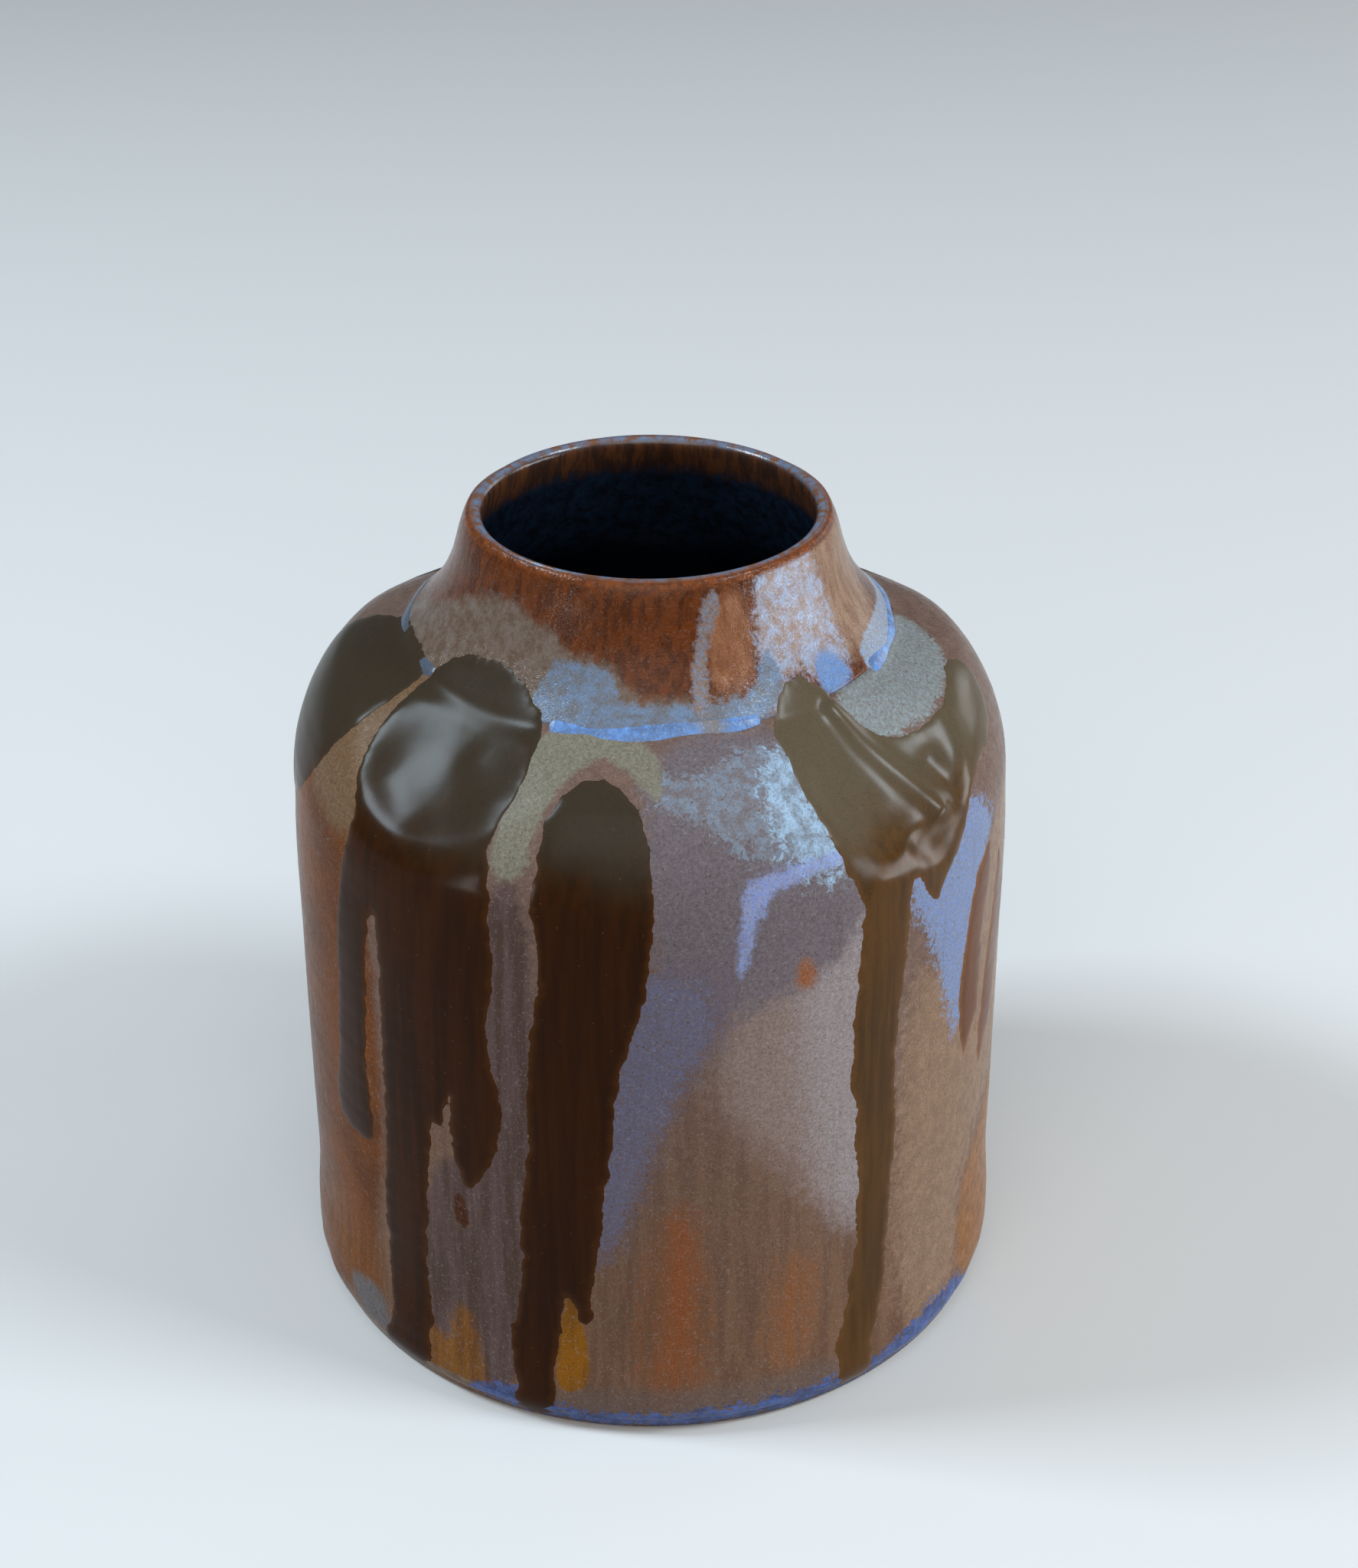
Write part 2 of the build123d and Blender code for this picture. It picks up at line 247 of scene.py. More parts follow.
def faceOutward(mesh):
    bm = bmesh.new()
    bm.from_mesh(mesh)
    bmesh.ops.recalc_face_normals(bm, faces=bm.faces)
    bm.to_mesh(mesh)
    bm.free()


def latheLoop(rows, segments, closed=True):
    # spin a loop of (along, depth, profile) rows into a ring; the rows ride along as point attributes
    bm = bmesh.new()
    alongLayer = bm.verts.layers.float.new("along")
    depthLayer = bm.verts.layers.float.new("depth")
    verts = []
    for along, depth, profile in rows:
        radius, height = profilePoint(profile, along, depth)
        radius = radius if radius > poleRadius else 0.0  # a row at the middle of the floor closes as a pole
        v = bm.verts.new((0, -radius * mm, height * mm))
        v[alongLayer], v[depthLayer] = along, depth
        verts.append(v)
    edges = [bm.edges.new((a, b)) for a, b in zip(verts, verts[1:])]
    if closed:
        edges.append(bm.edges.new((verts[-1], verts[0])))
    bmesh.ops.spin(bm, geom=verts + edges, cent=(0, 0, 0), axis=(0, 0, 1), angle=2 * math.pi, steps=segments, use_merge=True)
    bmesh.ops.remove_doubles(bm, verts=bm.verts, dist=1e-6)
    bmesh.ops.recalc_face_normals(bm, faces=bm.faces)
    return bm


def azimuthOf(mesh):
    points = np.zeros(len(mesh.vertices) * 3, np.float32)
    mesh.vertices.foreach_get("co", points)
    points = points.reshape(-1, 3).astype(float)
    return np.degrees(np.arctan2(points[:, 0], -points[:, 1]))


def evenRows(start, end, step):
    return list(np.linspace(start, end, max(2, int(round(abs(end - start) / step)) + 1)))


def skinPiece(name, node, start, end, settings):
    # thin glaze skin between two distances along the outside wall
    outer = [(s, 0.0, outsideProfile) for s in evenRows(start, end, settings["step"])]
    inner = [(s, vaseForm["glazeSkin"], outsideProfile) for s in evenRows(end, start, settings["backStep"])]
    piece = newPiece(name, latheLoop(outer + inner, settings["segments"]), [node])
    mesh = piece.data
    azimuth, along, depth = azimuthOf(mesh), readAttribute(mesh, "along"), readAttribute(mesh, "depth")
    setPoints(mesh, wallPoint(azimuth, along, depth))
    return piece, azimuth, along


# glaze patches, as outlines of azimuth and height

bodyPatches = {
    "warmLeft": [(-47, 132), (-47, 0), (-110, 0), (-150, 20), (-150, 110), (-110, 125), (-80, 118), (-68, 124), (-62, 137)],
    "warmShoulder": [(-50, 116), (-56, 114), (-64, 116), (-72, 122), (-80, 130), (-90, 139), (-60, 141), (-52, 136)],
    "warmLeftPale": [(-50, 12), (-50, 26), (-57, 30), (-66, 31), (-74, 24), (-72, 14), (-62, 8)],
    "mauveStrip": [(-17, 4), (-17, 118), (-26, 119), (-28, 60), (-38, 54), (-40, 4)],
    "tanStreak": [(-27, 0), (-27, 8), (-30, 24), (-33, 22), (-34, 12), (-38, 16), (-40, 8), (-39, 0)],
    "amberWedge": [(-13.5, 35), (-15.9, 13), (-14, 9), (-9.6, 12), (-11, 27)],
    "greyVeil": [(-2, 137), (30, 138), (34, 120), (33, 104), (20, 96), (8, 94), (1, 98), (-1, 110)],
    "blueStrip": [
        (-1, 104), (6, 106), (12, 104), (12.6, 95), (9, 87), (5, 80), (2, 72), (0, 62), (-3, 54), (-5, 44),
        (-10, 38), (-10, 60), (-7, 80), (-5, 92),
    ],
    "blueTufts": [(-2, 104), (6, 102), (10, 94), (5, 84), (2, 76), (-1, 66), (-4, 54), (-6, 46), (-10, 44), (-8, 62), (-6, 78), (-4, 92)],
    "paleField": [(13, 117), (36, 120), (38, 90), (36, 52), (28, 46), (20, 60), (12, 72), (8, 84), (11, 98)],
    "paleEdge": [(20, 117), (36, 120), (38, 90), (36, 40), (29, 42), (24, 66), (22, 90)],
    "blueCrown": [
        (-1, 133.6), (8, 133.4), (16, 135), (28, 135.6), (30, 128), (31.6, 119.6), (30, 115.6), (25, 117), (22, 120), (17, 121.6),
        (12, 126), (6, 129.6), (1, 130.6),
    ],
    "crownLight": [(19, 133), (29, 135.4), (30.5, 128), (31.6, 120), (29, 116.6), (24, 118.6), (20, 124)],
    "blueEdge": [(14, 120), (24, 121), (32, 121.4), (32, 119.4), (22, 118.2), (17, 116), (15, 110), (13.4, 102), (12.2, 102), (13, 114)],
    "greenArch": [(-26, 139), (-8, 138), (2, 136), (2, 130), (-3, 134), (-10, 135.4), (-16, 133), (-19, 127), (-19, 119), (-26, 118)],
    "rustFront": [(-2, 8), (-2, 30), (0, 46), (4, 56), (7, 48), (8, 30), (7, 10)],
    "rustRight": [(17, 12), (18, 34), (21, 40), (25, 36), (26, 26), (24, 12)],
    "footVeil": [(-16, 3), (-16, 10), (-4, 12), (14, 11), (32, 12), (32, 3)],
    "beigeRight": [(41, 6), (41, 92), (50, 88), (58, 98), (68, 108), (84, 112), (104, 108), (108, 60), (84, 50), (60, 40), (60, 6)],
    "blueFoot": [
        (-31, 0), (-29, 6), (-24, 9), (-16, 5.4), (0, 5.6), (14, 6.2),
        (31, 6.2), (38, 6), (44, 8), (50, 9.6), (58, 10), (63, 6), (63, 0),
    ],
    "blueFootBack": [
        (96, 0), (104, 6), (118, 8), (130, 5.6), (150, 6.4), (166, 8.4),
        (184, 5.4), (206, 6.6), (226, 8.6), (244, 5.6), (262, 4), (266, 0),
    ],
    "blueFootLeft": [(-60, 9), (-57, 14), (-49, 15), (-47, 6), (-52, 4)],
    "blueTriangle": [(42, 114), (50, 113), (61, 119), (68, 110), (66, 106), (59, 98), (56.5, 84), (56, 68), (52, 78), (47, 96), (42, 106)],
    "skyTop": [(47, 132), (46, 138), (60, 139.5), (80, 139.5), (95, 137), (84, 133), (66, 131.5)],
    "warmRight": [(60, 0), (60, 24), (63, 34), (69, 38), (74, 45), (81, 43), (88, 50), (98, 44), (106, 60), (124, 58), (124, 0)],
    "rustSpot": [(21.2, 98), (21.6, 103), (23.6, 103), (24.8, 99), (23.6, 97)],
    "darkFleck": [(-32, 50), (-30.4, 49.6), (-29.2, 44), (-30.4, 41.6), (-32.2, 44)],
    "backWarm": [(118, 0), (120, 60), (128, 90), (150, 112), (168, 96), (172, 40), (166, 0)],
    "backBlue": [(158, 138), (170, 128), (172, 108), (188, 104), (196, 122), (200, 138)],
    "backPale": [(188, 100), (186, 60), (190, 24), (204, 30), (210, 70), (206, 104)],
}

neckPatches = {
    "greyFoot": [
        (-95, 136), (-95, 141), (-75, 145), (-60, 151), (-45, 153.5), (-38, 152.5), (-33, 150.5), (-27, 150.2), (-22, 147.4),
        (-11, 146.8), (-7, 144), (-4, 142), (8, 142), (12, 141), (26, 141), (29, 136),
    ],
    "blueFold": [
        (-31, 137), (-29, 143), (-24, 147), (-16, 145.8), (-11, 146.2), (-8, 143), (-6, 141.2),
        (8, 141), (20, 140.4), (27, 142), (30, 146), (34, 146), (36, 142), (31, 137),
    ],
    "blueTongue": [(10, 139), (10.5, 146), (12.8, 151), (15, 156), (19, 158.6), (21, 156), (16.5, 151), (14.8, 146), (13.6, 139)],
    # partly pale lilac glaze, partly a painted highlight of the right-hand window on the neck
    "paleGlazeAndHighlight": [
        (29, 137), (30, 146), (31, 154), (34, 161), (57, 161),
        (59, 150), (60, 143), (56, 139.5), (46, 139), (40, 142.5), (35, 141),
    ],
    "tanSide": [(15.5, 154), (15, 144), (18, 142), (27, 142.4), (29, 148), (29, 156), (22, 158)],
    "tanEdge": [(46, 160), (48, 144), (56, 140), (84, 140), (90, 150), (88, 160)],
    "blueSpot": [(45, 137), (45, 141), (48, 143.2), (54, 142.4), (56, 138)],
    "rightSeam": [(60, 136), (62, 141.2), (80, 141.6), (100, 140), (120, 141), (120, 136)],
    "backGrey": [(125, 136), (130, 147), (145, 151), (160, 145), (180, 149), (200, 152), (220, 146), (236, 143), (240, 136)],
    "backBlue": [(132, 136), (136, 141.4), (150, 142.4), (164, 140), (186, 142), (204, 141), (224, 140.4), (230, 136)],
}


def patchFields(piece, azimuth, along, patches):
    for name, outline in patches.items():
        writeAttribute(piece.data, name, np.clip(insideDistance(azimuth, along, outline), -15, 15))


bodyGlaze = {"step": 1.25, "backStep": 3.0, "segments": 520}
seamAlong = float(alongAt(vaseForm["seamHeight"]))
crownAlong = float(outsideProfile["along"][-1])
bodyGlazePiece, bodyAzimuth, bodyAlong = skinPiece("bodyGlaze", "body_glaze", 0.0, seamAlong, bodyGlaze)
patchFields(bodyGlazePiece, bodyAzimuth, bodyAlong, bodyPatches)
print("body glaze", len(bodyGlazePiece.data.vertices), "points")

neckGlaze = {"step": 0.5, "backStep": 1.6, "segments": 480}
neckGlazePiece, neckAzimuth, neckAlong = skinPiece("neckGlaze", "neck_glaze", seamAlong, crownAlong, neckGlaze)
patchFields(neckGlazePiece, neckAzimuth, neckAlong, neckPatches)
print("neck glaze", len(neckGlazePiece.data.vertices), "points")

linerGlaze = {"step": 0.9, "backStep": 2.2, "segments": 280}
insideEnd = float(insideProfile["along"][-1])
linerRows = [(s, 0.0, insideProfile) for s in evenRows(0.0, insideEnd, linerGlaze["step"])]
linerRows += [(s, -vaseForm["glazeSkin"], insideProfile) for s in evenRows(insideEnd - 0.05, 0.0, linerGlaze["backStep"])]
linerMesh = latheLoop(linerRows, linerGlaze["segments"], closed=False)
linerPiece = newPiece("linerGlaze", linerMesh, ["liner_glaze"])
print("liner", len(linerPiece.data.vertices), "points")

# clay under the glaze; only the trimmed foot shows
clay = {
    "segments": 256,
    "recess": 2.6,
    "set": 0.75,             # how far the clay lies behind the outside of the glaze
    "behindLiner": 0.65,     # and behind the inside of the liner
    "outerStep": 1.6,
    "innerStep": 2.0,
    "gap": 0.03,             # left between one run of clay and the next
}


def clayPiece(name, node, startAlong, endAlong, insideTop, insideBottom, foot):
    bm = bmesh.new()
    alongLayer = bm.verts.layers.float.new("along")
    depthLayer = bm.verts.layers.float.new("depth")
    wallLayer = bm.verts.layers.float.new("wall")
    verts = []

    def addVert(radius, height, along, depth, onWall):
        v = bm.verts.new((0, -radius * mm, height * mm))
        v[alongLayer], v[depthLayer], v[wallLayer] = along, depth, onWall
        verts.append(v)

    for radius, height in foot:
        addVert(radius, height, 0, 0, 0)
    for along in evenRows(startAlong, endAlong, clay["outerStep"]):
        addVert(40, along, along, clay["set"], 1)  # a stand-in place, set on the pressed wall below
    for s in evenRows(insideTop, insideBottom, clay["innerStep"]):
        radius, height = profilePoint(insideProfile, s, -clay["behindLiner"])
        addVert(radius if radius > poleRadius else 0.0, height, 0, 0, 0)
    edges = [bm.edges.new((a, b)) for a, b in zip(verts, verts[1:])]
    if not foot:
        edges.append(bm.edges.new((verts[-1], verts[0])))
    bmesh.ops.spin(bm, geom=verts + edges, cent=(0, 0, 0), axis=(0, 0, 1), angle=2 * math.pi, steps=clay["segments"], use_merge=True)
    bmesh.ops.remove_doubles(bm, verts=bm.verts, dist=1e-6)
    piece = newPiece(name, bm, [node])
    mesh = piece.data
    onWall = readAttribute(mesh, "wall") > 0.5
    azimuth, along, depth = azimuthOf(mesh), readAttribute(mesh, "along"), readAttribute(mesh, "depth")
    points = np.zeros(len(mesh.vertices) * 3, np.float32)
    mesh.vertices.foreach_get("co", points)
    points = points.reshape(-1, 3).astype(float) / mm
    points[onWall] = wallPoint(azimuth[onWall], along[onWall], depth[onWall])
    setPoints(mesh, points)
    faceOutward(mesh)
    return piece


insideSeam = float(alongAt(132.4, insideProfile))
floorTop, heelTop, wallTop = 9.2, 20.0, 112.0
footProfile = [
    (0.0, clay["recess"]), (56.2, clay["recess"]), (57.6, 2.2), (59.2, 0.5), (59.9, 0.06), (60.6, 0.0),
    (64.6, 0.0), (65.6, 0.12), (66.6, 0.7),
]
clayFloorPiece = clayPiece(
    "clayFloor", "clay_floor", 0.3, float(alongAt(floorTop)) - clay["gap"],
    float(alongAt(floorTop, insideProfile)), 0.0, footProfile
)
clayHeelPiece = clayPiece(
    "clayHeel", "clay_heel", float(alongAt(floorTop)) + clay["gap"], float(alongAt(heelTop)) - clay["gap"],
    float(alongAt(heelTop, insideProfile)), float(alongAt(floorTop, insideProfile)), []
)
clayWallPiece = clayPiece(
    "clayWall", "clay_wall", float(alongAt(heelTop)) + clay["gap"], float(alongAt(wallTop)) - clay["gap"],
    float(alongAt(wallTop, insideProfile)), float(alongAt(heelTop, insideProfile)), []
)
clayShoulderPiece = clayPiece(
    "clayShoulder", "clay_shoulder", float(alongAt(wallTop)) + clay["gap"], seamAlong - 0.5,
    insideSeam, float(alongAt(wallTop, insideProfile)), []
)
clayNeckPiece = clayPiece(
    "clayNeck", "clay_neck", seamAlong + 0.1, crownAlong - 0.9, insideEnd - 0.9, insideSeam + 0.3, []
)
print("clay set")

# beads of glaze gathered in the crease of the neck and above the foot
seamRoll = {"segments": 420, "around": 16, "centreDepth": 0.95, "radius": 1.5, "spread": 1.7}
footRoll = {"segments": 480, "around": 14, "centreDepth": 1.45, "radius": 1.75, "spread": 1.35, "height": 4.4}


def beadPiece(name, node, settings, middleAlong, swell, rise):
    # a ring of round section set into the wall; swell and rise vary it round the vase
    bm = bmesh.new()
    alongLayer = bm.verts.layers.float.new("along")
    depthLayer = bm.verts.layers.float.new("depth")
    section = bmesh.ops.create_circle(bm, segments=settings["around"], radius=1.0)["verts"]
    for v in section:
        v[alongLayer], v[depthLayer] = v.co.x, v.co.y
        v.co = (0, (-50 + v.co.y) * mm, (100 + v.co.x) * mm)
    edges = list({e for v in section for e in v.link_edges})
    bmesh.ops.spin(bm, geom=section + edges, cent=(0, 0, 0), axis=(0, 0, 1), angle=2 * math.pi, steps=settings["segments"], use_merge=True)
    bmesh.ops.remove_doubles(bm, verts=bm.verts, dist=1e-7)
    bmesh.ops.recalc_face_normals(bm, faces=bm.faces)
    piece = newPiece(name, bm, [node])
    mesh = piece.data
    azimuth, across, out = azimuthOf(mesh), readAttribute(mesh, "along"), readAttribute(mesh, "depth")
    size = settings["radius"] * swell(azimuth)
    along = middleAlong + rise(azimuth) + across * settings["radius"] * settings["spread"] * (0.6 + 0.4 * swell(azimuth))
    setPoints(mesh, wallPoint(azimuth, along, settings["centreDepth"] + out * size))
    return piece, azimuth, along


def nearDimple(azimuth, width):
    # 1 between the dimples, falling to 0 in them
    free = np.ones(azimuth.shape)
    for dimpleAzimuth, *_ in vaseForm["dimples"]:
        gap = np.abs((azimuth - dimpleAzimuth + 180) % 360 - 180)
        free = np.minimum(free, np.clip((gap - width) / 4, 0, 1))
    return free


def seamSwell(azimuth):
    lumps = 0.05 * np.sin(np.radians(azimuth) * 7 + 1) + 0.04 * np.sin(np.radians(azimuth) * 17 + 2)
    return np.clip((0.74 + lumps) * (0.35 + 0.65 * nearDimple(azimuth, 15)), 0.2, 1.05)


def footSwell(azimuth):
    turn = np.radians(azimuth)
    lumps = 0.06 * np.sin(turn * 9 + 0.4) + 0.05 * np.sin(turn * 23 + 2) + 0.03 * np.sin(turn * 41)
    return np.clip(0.92 + lumps, 0.6, 1.03)


def seamRise(azimuth):
    return 0.35 * np.sin(np.radians(azimuth) * 5) + 0.2 * np.sin(np.radians(azimuth) * 13)


def footRise(azimuth):
    return 0.3 * np.sin(np.radians(azimuth) * 6 + 1)


seamRollPiece, seamAzimuth, _ = beadPiece("seamRoll", "seam_roll", seamRoll, seamAlong, seamSwell, seamRise)
dullLeft = np.clip((-40 - seamAzimuth) / 15, 0, 1) * np.clip((seamAzimuth + 125) / 15, 0, 1)  # the bead is dull at the left
writeAttribute(seamRollPiece.data, "dull", dullLeft)
footRollMiddle = float(alongAt(footRoll["height"]))
footRollPiece, footAzimuth, footAlong = beadPiece("footRoll", "foot_roll", footRoll, footRollMiddle, footSwell, footRise)
footRollPatches = ("blueFoot", "blueFootBack", "warmLeft", "warmRight", "backWarm")
patchFields(footRollPiece, footAzimuth, footAlong, {k: bodyPatches[k] for k in footRollPatches})
print("beads set")

# dark runs, poured over the dipped glaze: outline, lift, and the finish each one takes
darkRuns = {
    "runLeft": {
        "node": "run_left", "slot": "dark_run_left", "look": "deep",
        "outline": [
            (-60.5, 138.0), (-57.5, 140.6), (-53.0, 142.2), (-47.0, 143.2), (-41.0, 143.5), (-35.0, 142.4), (-29.5, 140.4),
            (-25.0, 138.4), (-24.0, 135.8), (-24.3, 132.0), (-26.0, 128.0), (-26.2, 124.5), (-25.2, 120.0), (-24.3, 115.0),
            (-24.3, 109.0), (-23.8, 104.0), (-23.5, 99.0), (-24.6, 93.0), (-25.2, 87.0), (-24.6, 81.0), (-23.6, 76.0),
            (-23.0, 71.0), (-23.8, 65.0), (-24.8, 60.0), (-26.6, 56.0), (-28.2, 52.6), (-29.6, 51.8), (-30.6, 53.5),
            (-31.6, 57.5), (-32.4, 62.0), (-32.4, 67.0), (-31.6, 72.5), (-33.0, 68.0), (-33.8, 64.6), (-34.8, 63.4),
            (-35.8, 65.0), (-36.0, 60.0), (-36.6, 55.0), (-37.2, 48.0), (-37.4, 42.0), (-38.4, 34.0), (-38.4, 26.0),
            (-37.8, 18.0), (-36.8, 14.6), (-38.6, 12.5), (-37.4, 8.0), (-38.6, 4.4), (-40.4, 2.0), (-50.6, 2.0),
            (-48.8, 6.0), (-46.8, 10.0), (-46.6, 15.0), (-47.4, 22.0), (-47.2, 30.0), (-47.6, 38.0), (-46.8, 46.0),
            (-46.2, 54.0), (-46.0, 64.0), (-45.6, 74.0), (-45.8, 82.0), (-45.4, 92.0), (-45.6, 99.0), (-46.0, 103.6),
            (-47.2, 102.4), (-48.2, 98.0), (-48.6, 92.0), (-49.2, 84.0), (-49.8, 76.0), (-50.6, 68.0), (-50.0, 62.0),
            (-49.4, 55.0), (-49.8, 50.4), (-53.0, 49.2), (-57.0, 49.4), (-60.2, 50.8), (-60.9, 55.0), (-60.2, 60.0),
            (-58.6, 66.0), (-58.8, 72.0), (-57.6, 78.0), (-57.2, 86.0), (-56.4, 94.0), (-55.8, 101.0), (-54.6, 107.0),
            (-53.8, 112.0), (-52.6, 117.0), (-53.0, 120.5), (-55.0, 123.5), (-56.6, 127.0), (-57.8, 131.0), (-59.8, 134.6),
        ],
    },
    "runMiddle": {
        "node": "run_middle", "slot": "dark_run_middle", "look": "deep",
        "outline": [
            (-9.5, 133.4), (-13.0, 132.8), (-15.8, 131.2), (-17.4, 128.0), (-17.6, 124.0), (-17.2, 121.0), (-18.2, 118.0),
            (-17.8, 113.0), (-16.8, 108.0), (-16.6, 102.0), (-17.0, 97.0), (-17.6, 92.0), (-18.4, 86.0), (-18.6, 80.0),
            (-19.0, 74.0), (-18.8, 66.0), (-19.6, 58.0), (-20.4, 52.0), (-20.6, 45.0), (-20.4, 38.0), (-21.0, 32.0),
            (-21.4, 26.0), (-23.0, 21.5), (-22.4, 17.0), (-22.6, 12.5), (-21.4, 9.0), (-22.4, 5.0), (-22.0, 2.0),
            (-16.4, 2.0), (-16.0, 6.0), (-15.6, 11.0), (-15.3, 17.0), (-14.5, 24.0), (-14.0, 30.0), (-13.6, 33.4),
            (-12.6, 31.0), (-11.6, 27.0), (-10.4, 25.6), (-9.4, 28.0), (-9.8, 33.0), (-9.0, 38.0), (-8.2, 45.0),
            (-7.6, 51.0), (-7.8, 54.5), (-6.6, 60.0), (-6.0, 68.0), (-5.6, 76.0), (-5.0, 82.0), (-4.0, 86.5),
            (-3.2, 90.0), (-1.6, 96.0), (-0.8, 102.0), (-0.2, 108.0), (0.4, 115.0), (0.2, 121.0), (-0.6, 127.0),
            (-2.4, 130.6), (-5.4, 132.8),
        ],
    },
    "runRight": {
        "node": "run_right", "slot": "dark_run_right", "look": "warm",
        "outline": [
            (27.0, 136.2), (28.4, 132.4), (29.2, 128.0), (29.8, 123.0), (30.4, 118.0), (31.8, 113.6), (33.2, 110.0),
            (32.4, 104.0), (32.2, 98.0), (31.6, 92.0), (31.2, 86.0), (31.6, 80.0), (30.8, 75.0), (31.4, 71.0),
            (32.6, 67.0), (31.8, 62.0), (32.6, 56.0), (33.4, 50.0), (32.8, 44.0), (33.2, 38.0), (32.6, 32.0),
            (31.8, 27.0), (31.8, 21.0), (30.6, 17.0), (29.2, 13.0), (30.4, 9.0), (30.2, 5.0), (30.8, 2.0),
            (37.8, 2.0), (36.6, 6.0), (36.2, 10.0), (37.6, 14.0), (38.6, 20.0), (39.4, 26.0), (39.4, 33.0),
            (39.8, 40.0), (39.6, 48.0), (40.2, 56.0), (39.8, 64.0), (39.6, 72.0), (39.8, 80.0), (40.4, 88.0),
            (41.0, 94.0), (41.8, 100.0), (42.0, 106.0), (42.4, 111.4), (43.8, 111.0), (45.4, 108.0), (47.0, 104.6),
            (48.6, 103.0), (49.8, 105.4), (51.6, 108.4), (54.0, 111.0), (56.4, 113.6), (58.6, 117.0), (62.0, 119.6),
            (66.0, 121.6), (71.0, 121.8), (76.0, 123.0), (80.4, 125.6), (83.8, 128.8), (83.6, 131.8), (79.0, 133.0),
            (73.0, 132.0), (66.0, 131.2), (59.0, 131.0), (53.0, 131.6), (49.0, 133.4), (46.6, 136.4), (44.4, 139.2),
            (41.0, 141.2), (37.6, 141.7), (34.0, 140.8), (30.6, 138.6),
        ],
    },
    "runSideFront": {
        "node": "run_side_front", "slot": "dark_run_side_front", "look": "russet",
        "outline": [
            (66.4, 105.6), (63.0, 104.0), (60.4, 101.0), (58.8, 97.0), (57.4, 92.0), (56.8, 86.0), (55.8, 80.0),
            (56.2, 74.0), (56.6, 69.0), (58.0, 65.0), (58.6, 61.4), (59.6, 65.0), (61.4, 67.4), (63.4, 70.0),
            (63.8, 76.0), (64.2, 82.0), (64.0, 88.0), (65.0, 93.0), (66.4, 97.0), (67.6, 102.0),
        ],
    },
    "runSideBack": {
        "node": "run_side_back", "slot": "dark_run_side_back", "look": "russet",
        "outline": [
            (72.2, 100.2), (70.4, 95.6), (69.4, 90.0), (68.4, 84.0), (66.8, 78.0), (66.0, 72.0), (65.0, 66.0),
            (64.0, 62.0), (65.2, 58.0), (66.2, 54.2), (67.4, 58.4), (69.8, 61.0), (72.4, 65.0), (74.0, 70.0),
            (75.6, 75.0), (78.2, 81.0), (79.2, 88.0), (77.6, 93.0), (75.4, 96.4),
        ],
    },
    "runFarLeft": {
        "node": "run_far_left", "slot": "dark_run_far_left", "look": "deep",
        "outline": [
            (-62.0, 138.2), (-61.4, 134.0), (-62.4, 130.0), (-64.8, 125.6), (-66.6, 121.0), (-69.4, 117.0), (-72.4, 113.0),
            (-76.6, 109.6), (-82.0, 107.2), (-88.0, 105.8), (-94.0, 107.6), (-98.6, 111.6), (-102.0, 118.0), (-103.0, 125.0),
            (-101.0, 131.4), (-96.6, 135.4), (-90.0, 137.6), (-81.0, 138.8), (-71.0, 139.0),
        ],
    },
    "runBackLeft": {
        "node": "run_back_left", "slot": "dark_run_back_left", "look": "deep",
        "outline": [
            (-157.0, 137.5), (-152.0, 140.4), (-145.0, 142.2), (-138.0, 142.8), (-131.0, 141.6), (-124.0, 139.0), (-120.0, 134.6),
            (-119.4, 128.0), (-121.8, 121.0), (-123.0, 114.0), (-124.4, 105.0), (-124.6, 94.0), (-126.2, 84.0), (-126.6, 74.0),
            (-128.0, 66.0), (-129.6, 60.4), (-131.4, 64.0), (-132.8, 68.0), (-133.6, 58.0), (-134.6, 46.0), (-135.4, 33.0),
            (-135.0, 20.0), (-136.2, 10.0), (-136.0, 2.6), (-145.4, 2.6), (-146.6, 12.0), (-145.8, 26.0), (-146.4, 40.0),
            (-147.0, 54.0), (-148.6, 68.0), (-150.4, 82.0), (-153.0, 94.0), (-155.0, 106.0), (-156.2, 117.0), (-158.6, 127.0),
            (-158.8, 133.0),
        ],
    },
    "runBackRight": {
        "node": "run_back_right", "slot": "dark_run_back_right", "look": "warm",
        "outline": [
            (119.5, 136.0), (117.0, 130.0), (119.0, 122.0), (121.6, 112.0), (122.8, 102.0), (122.0, 92.0), (123.0, 80.0),
            (124.6, 68.0), (126.6, 60.0), (128.2, 57.4), (129.4, 64.0), (130.6, 72.0), (131.6, 62.0), (131.4, 48.0),
            (130.8, 34.0), (131.6, 20.0), (131.4, 8.0), (132.4, 2.6), (140.0, 2.6), (141.2, 14.0), (140.8, 30.0),
            (141.0, 46.0), (141.4, 62.0), (142.6, 76.0), (144.6, 88.0), (146.4, 92.6), (148.8, 84.0), (150.8, 80.6),
            (152.4, 88.0), (152.0, 98.0), (152.6, 108.0), (153.6, 118.0), (156.0, 127.0), (154.4, 134.0), (149.0, 138.4),
            (142.0, 140.8), (134.0, 141.4), (126.0, 139.8),
        ],
    },
    "runBackMiddle": {
        "node": "run_back_middle", "slot": "dark_run_back_middle", "look": "russet",
        "outline": [
            (178.0, 134.0), (174.0, 132.6), (171.2, 129.0), (170.2, 123.0), (170.8, 112.0), (170.2, 100.0), (170.0, 88.0),
            (171.4, 76.0), (171.6, 64.0), (172.0, 52.0), (173.4, 38.0), (174.8, 28.0), (177.2, 23.0), (179.4, 27.0),
            (180.6, 38.0), (181.0, 50.0), (182.0, 62.0), (182.8, 74.0), (184.2, 86.0), (185.6, 98.0), (185.6, 110.0),
            (186.6, 121.0), (185.2, 128.6), (182.2, 132.8),
        ],
    },
}
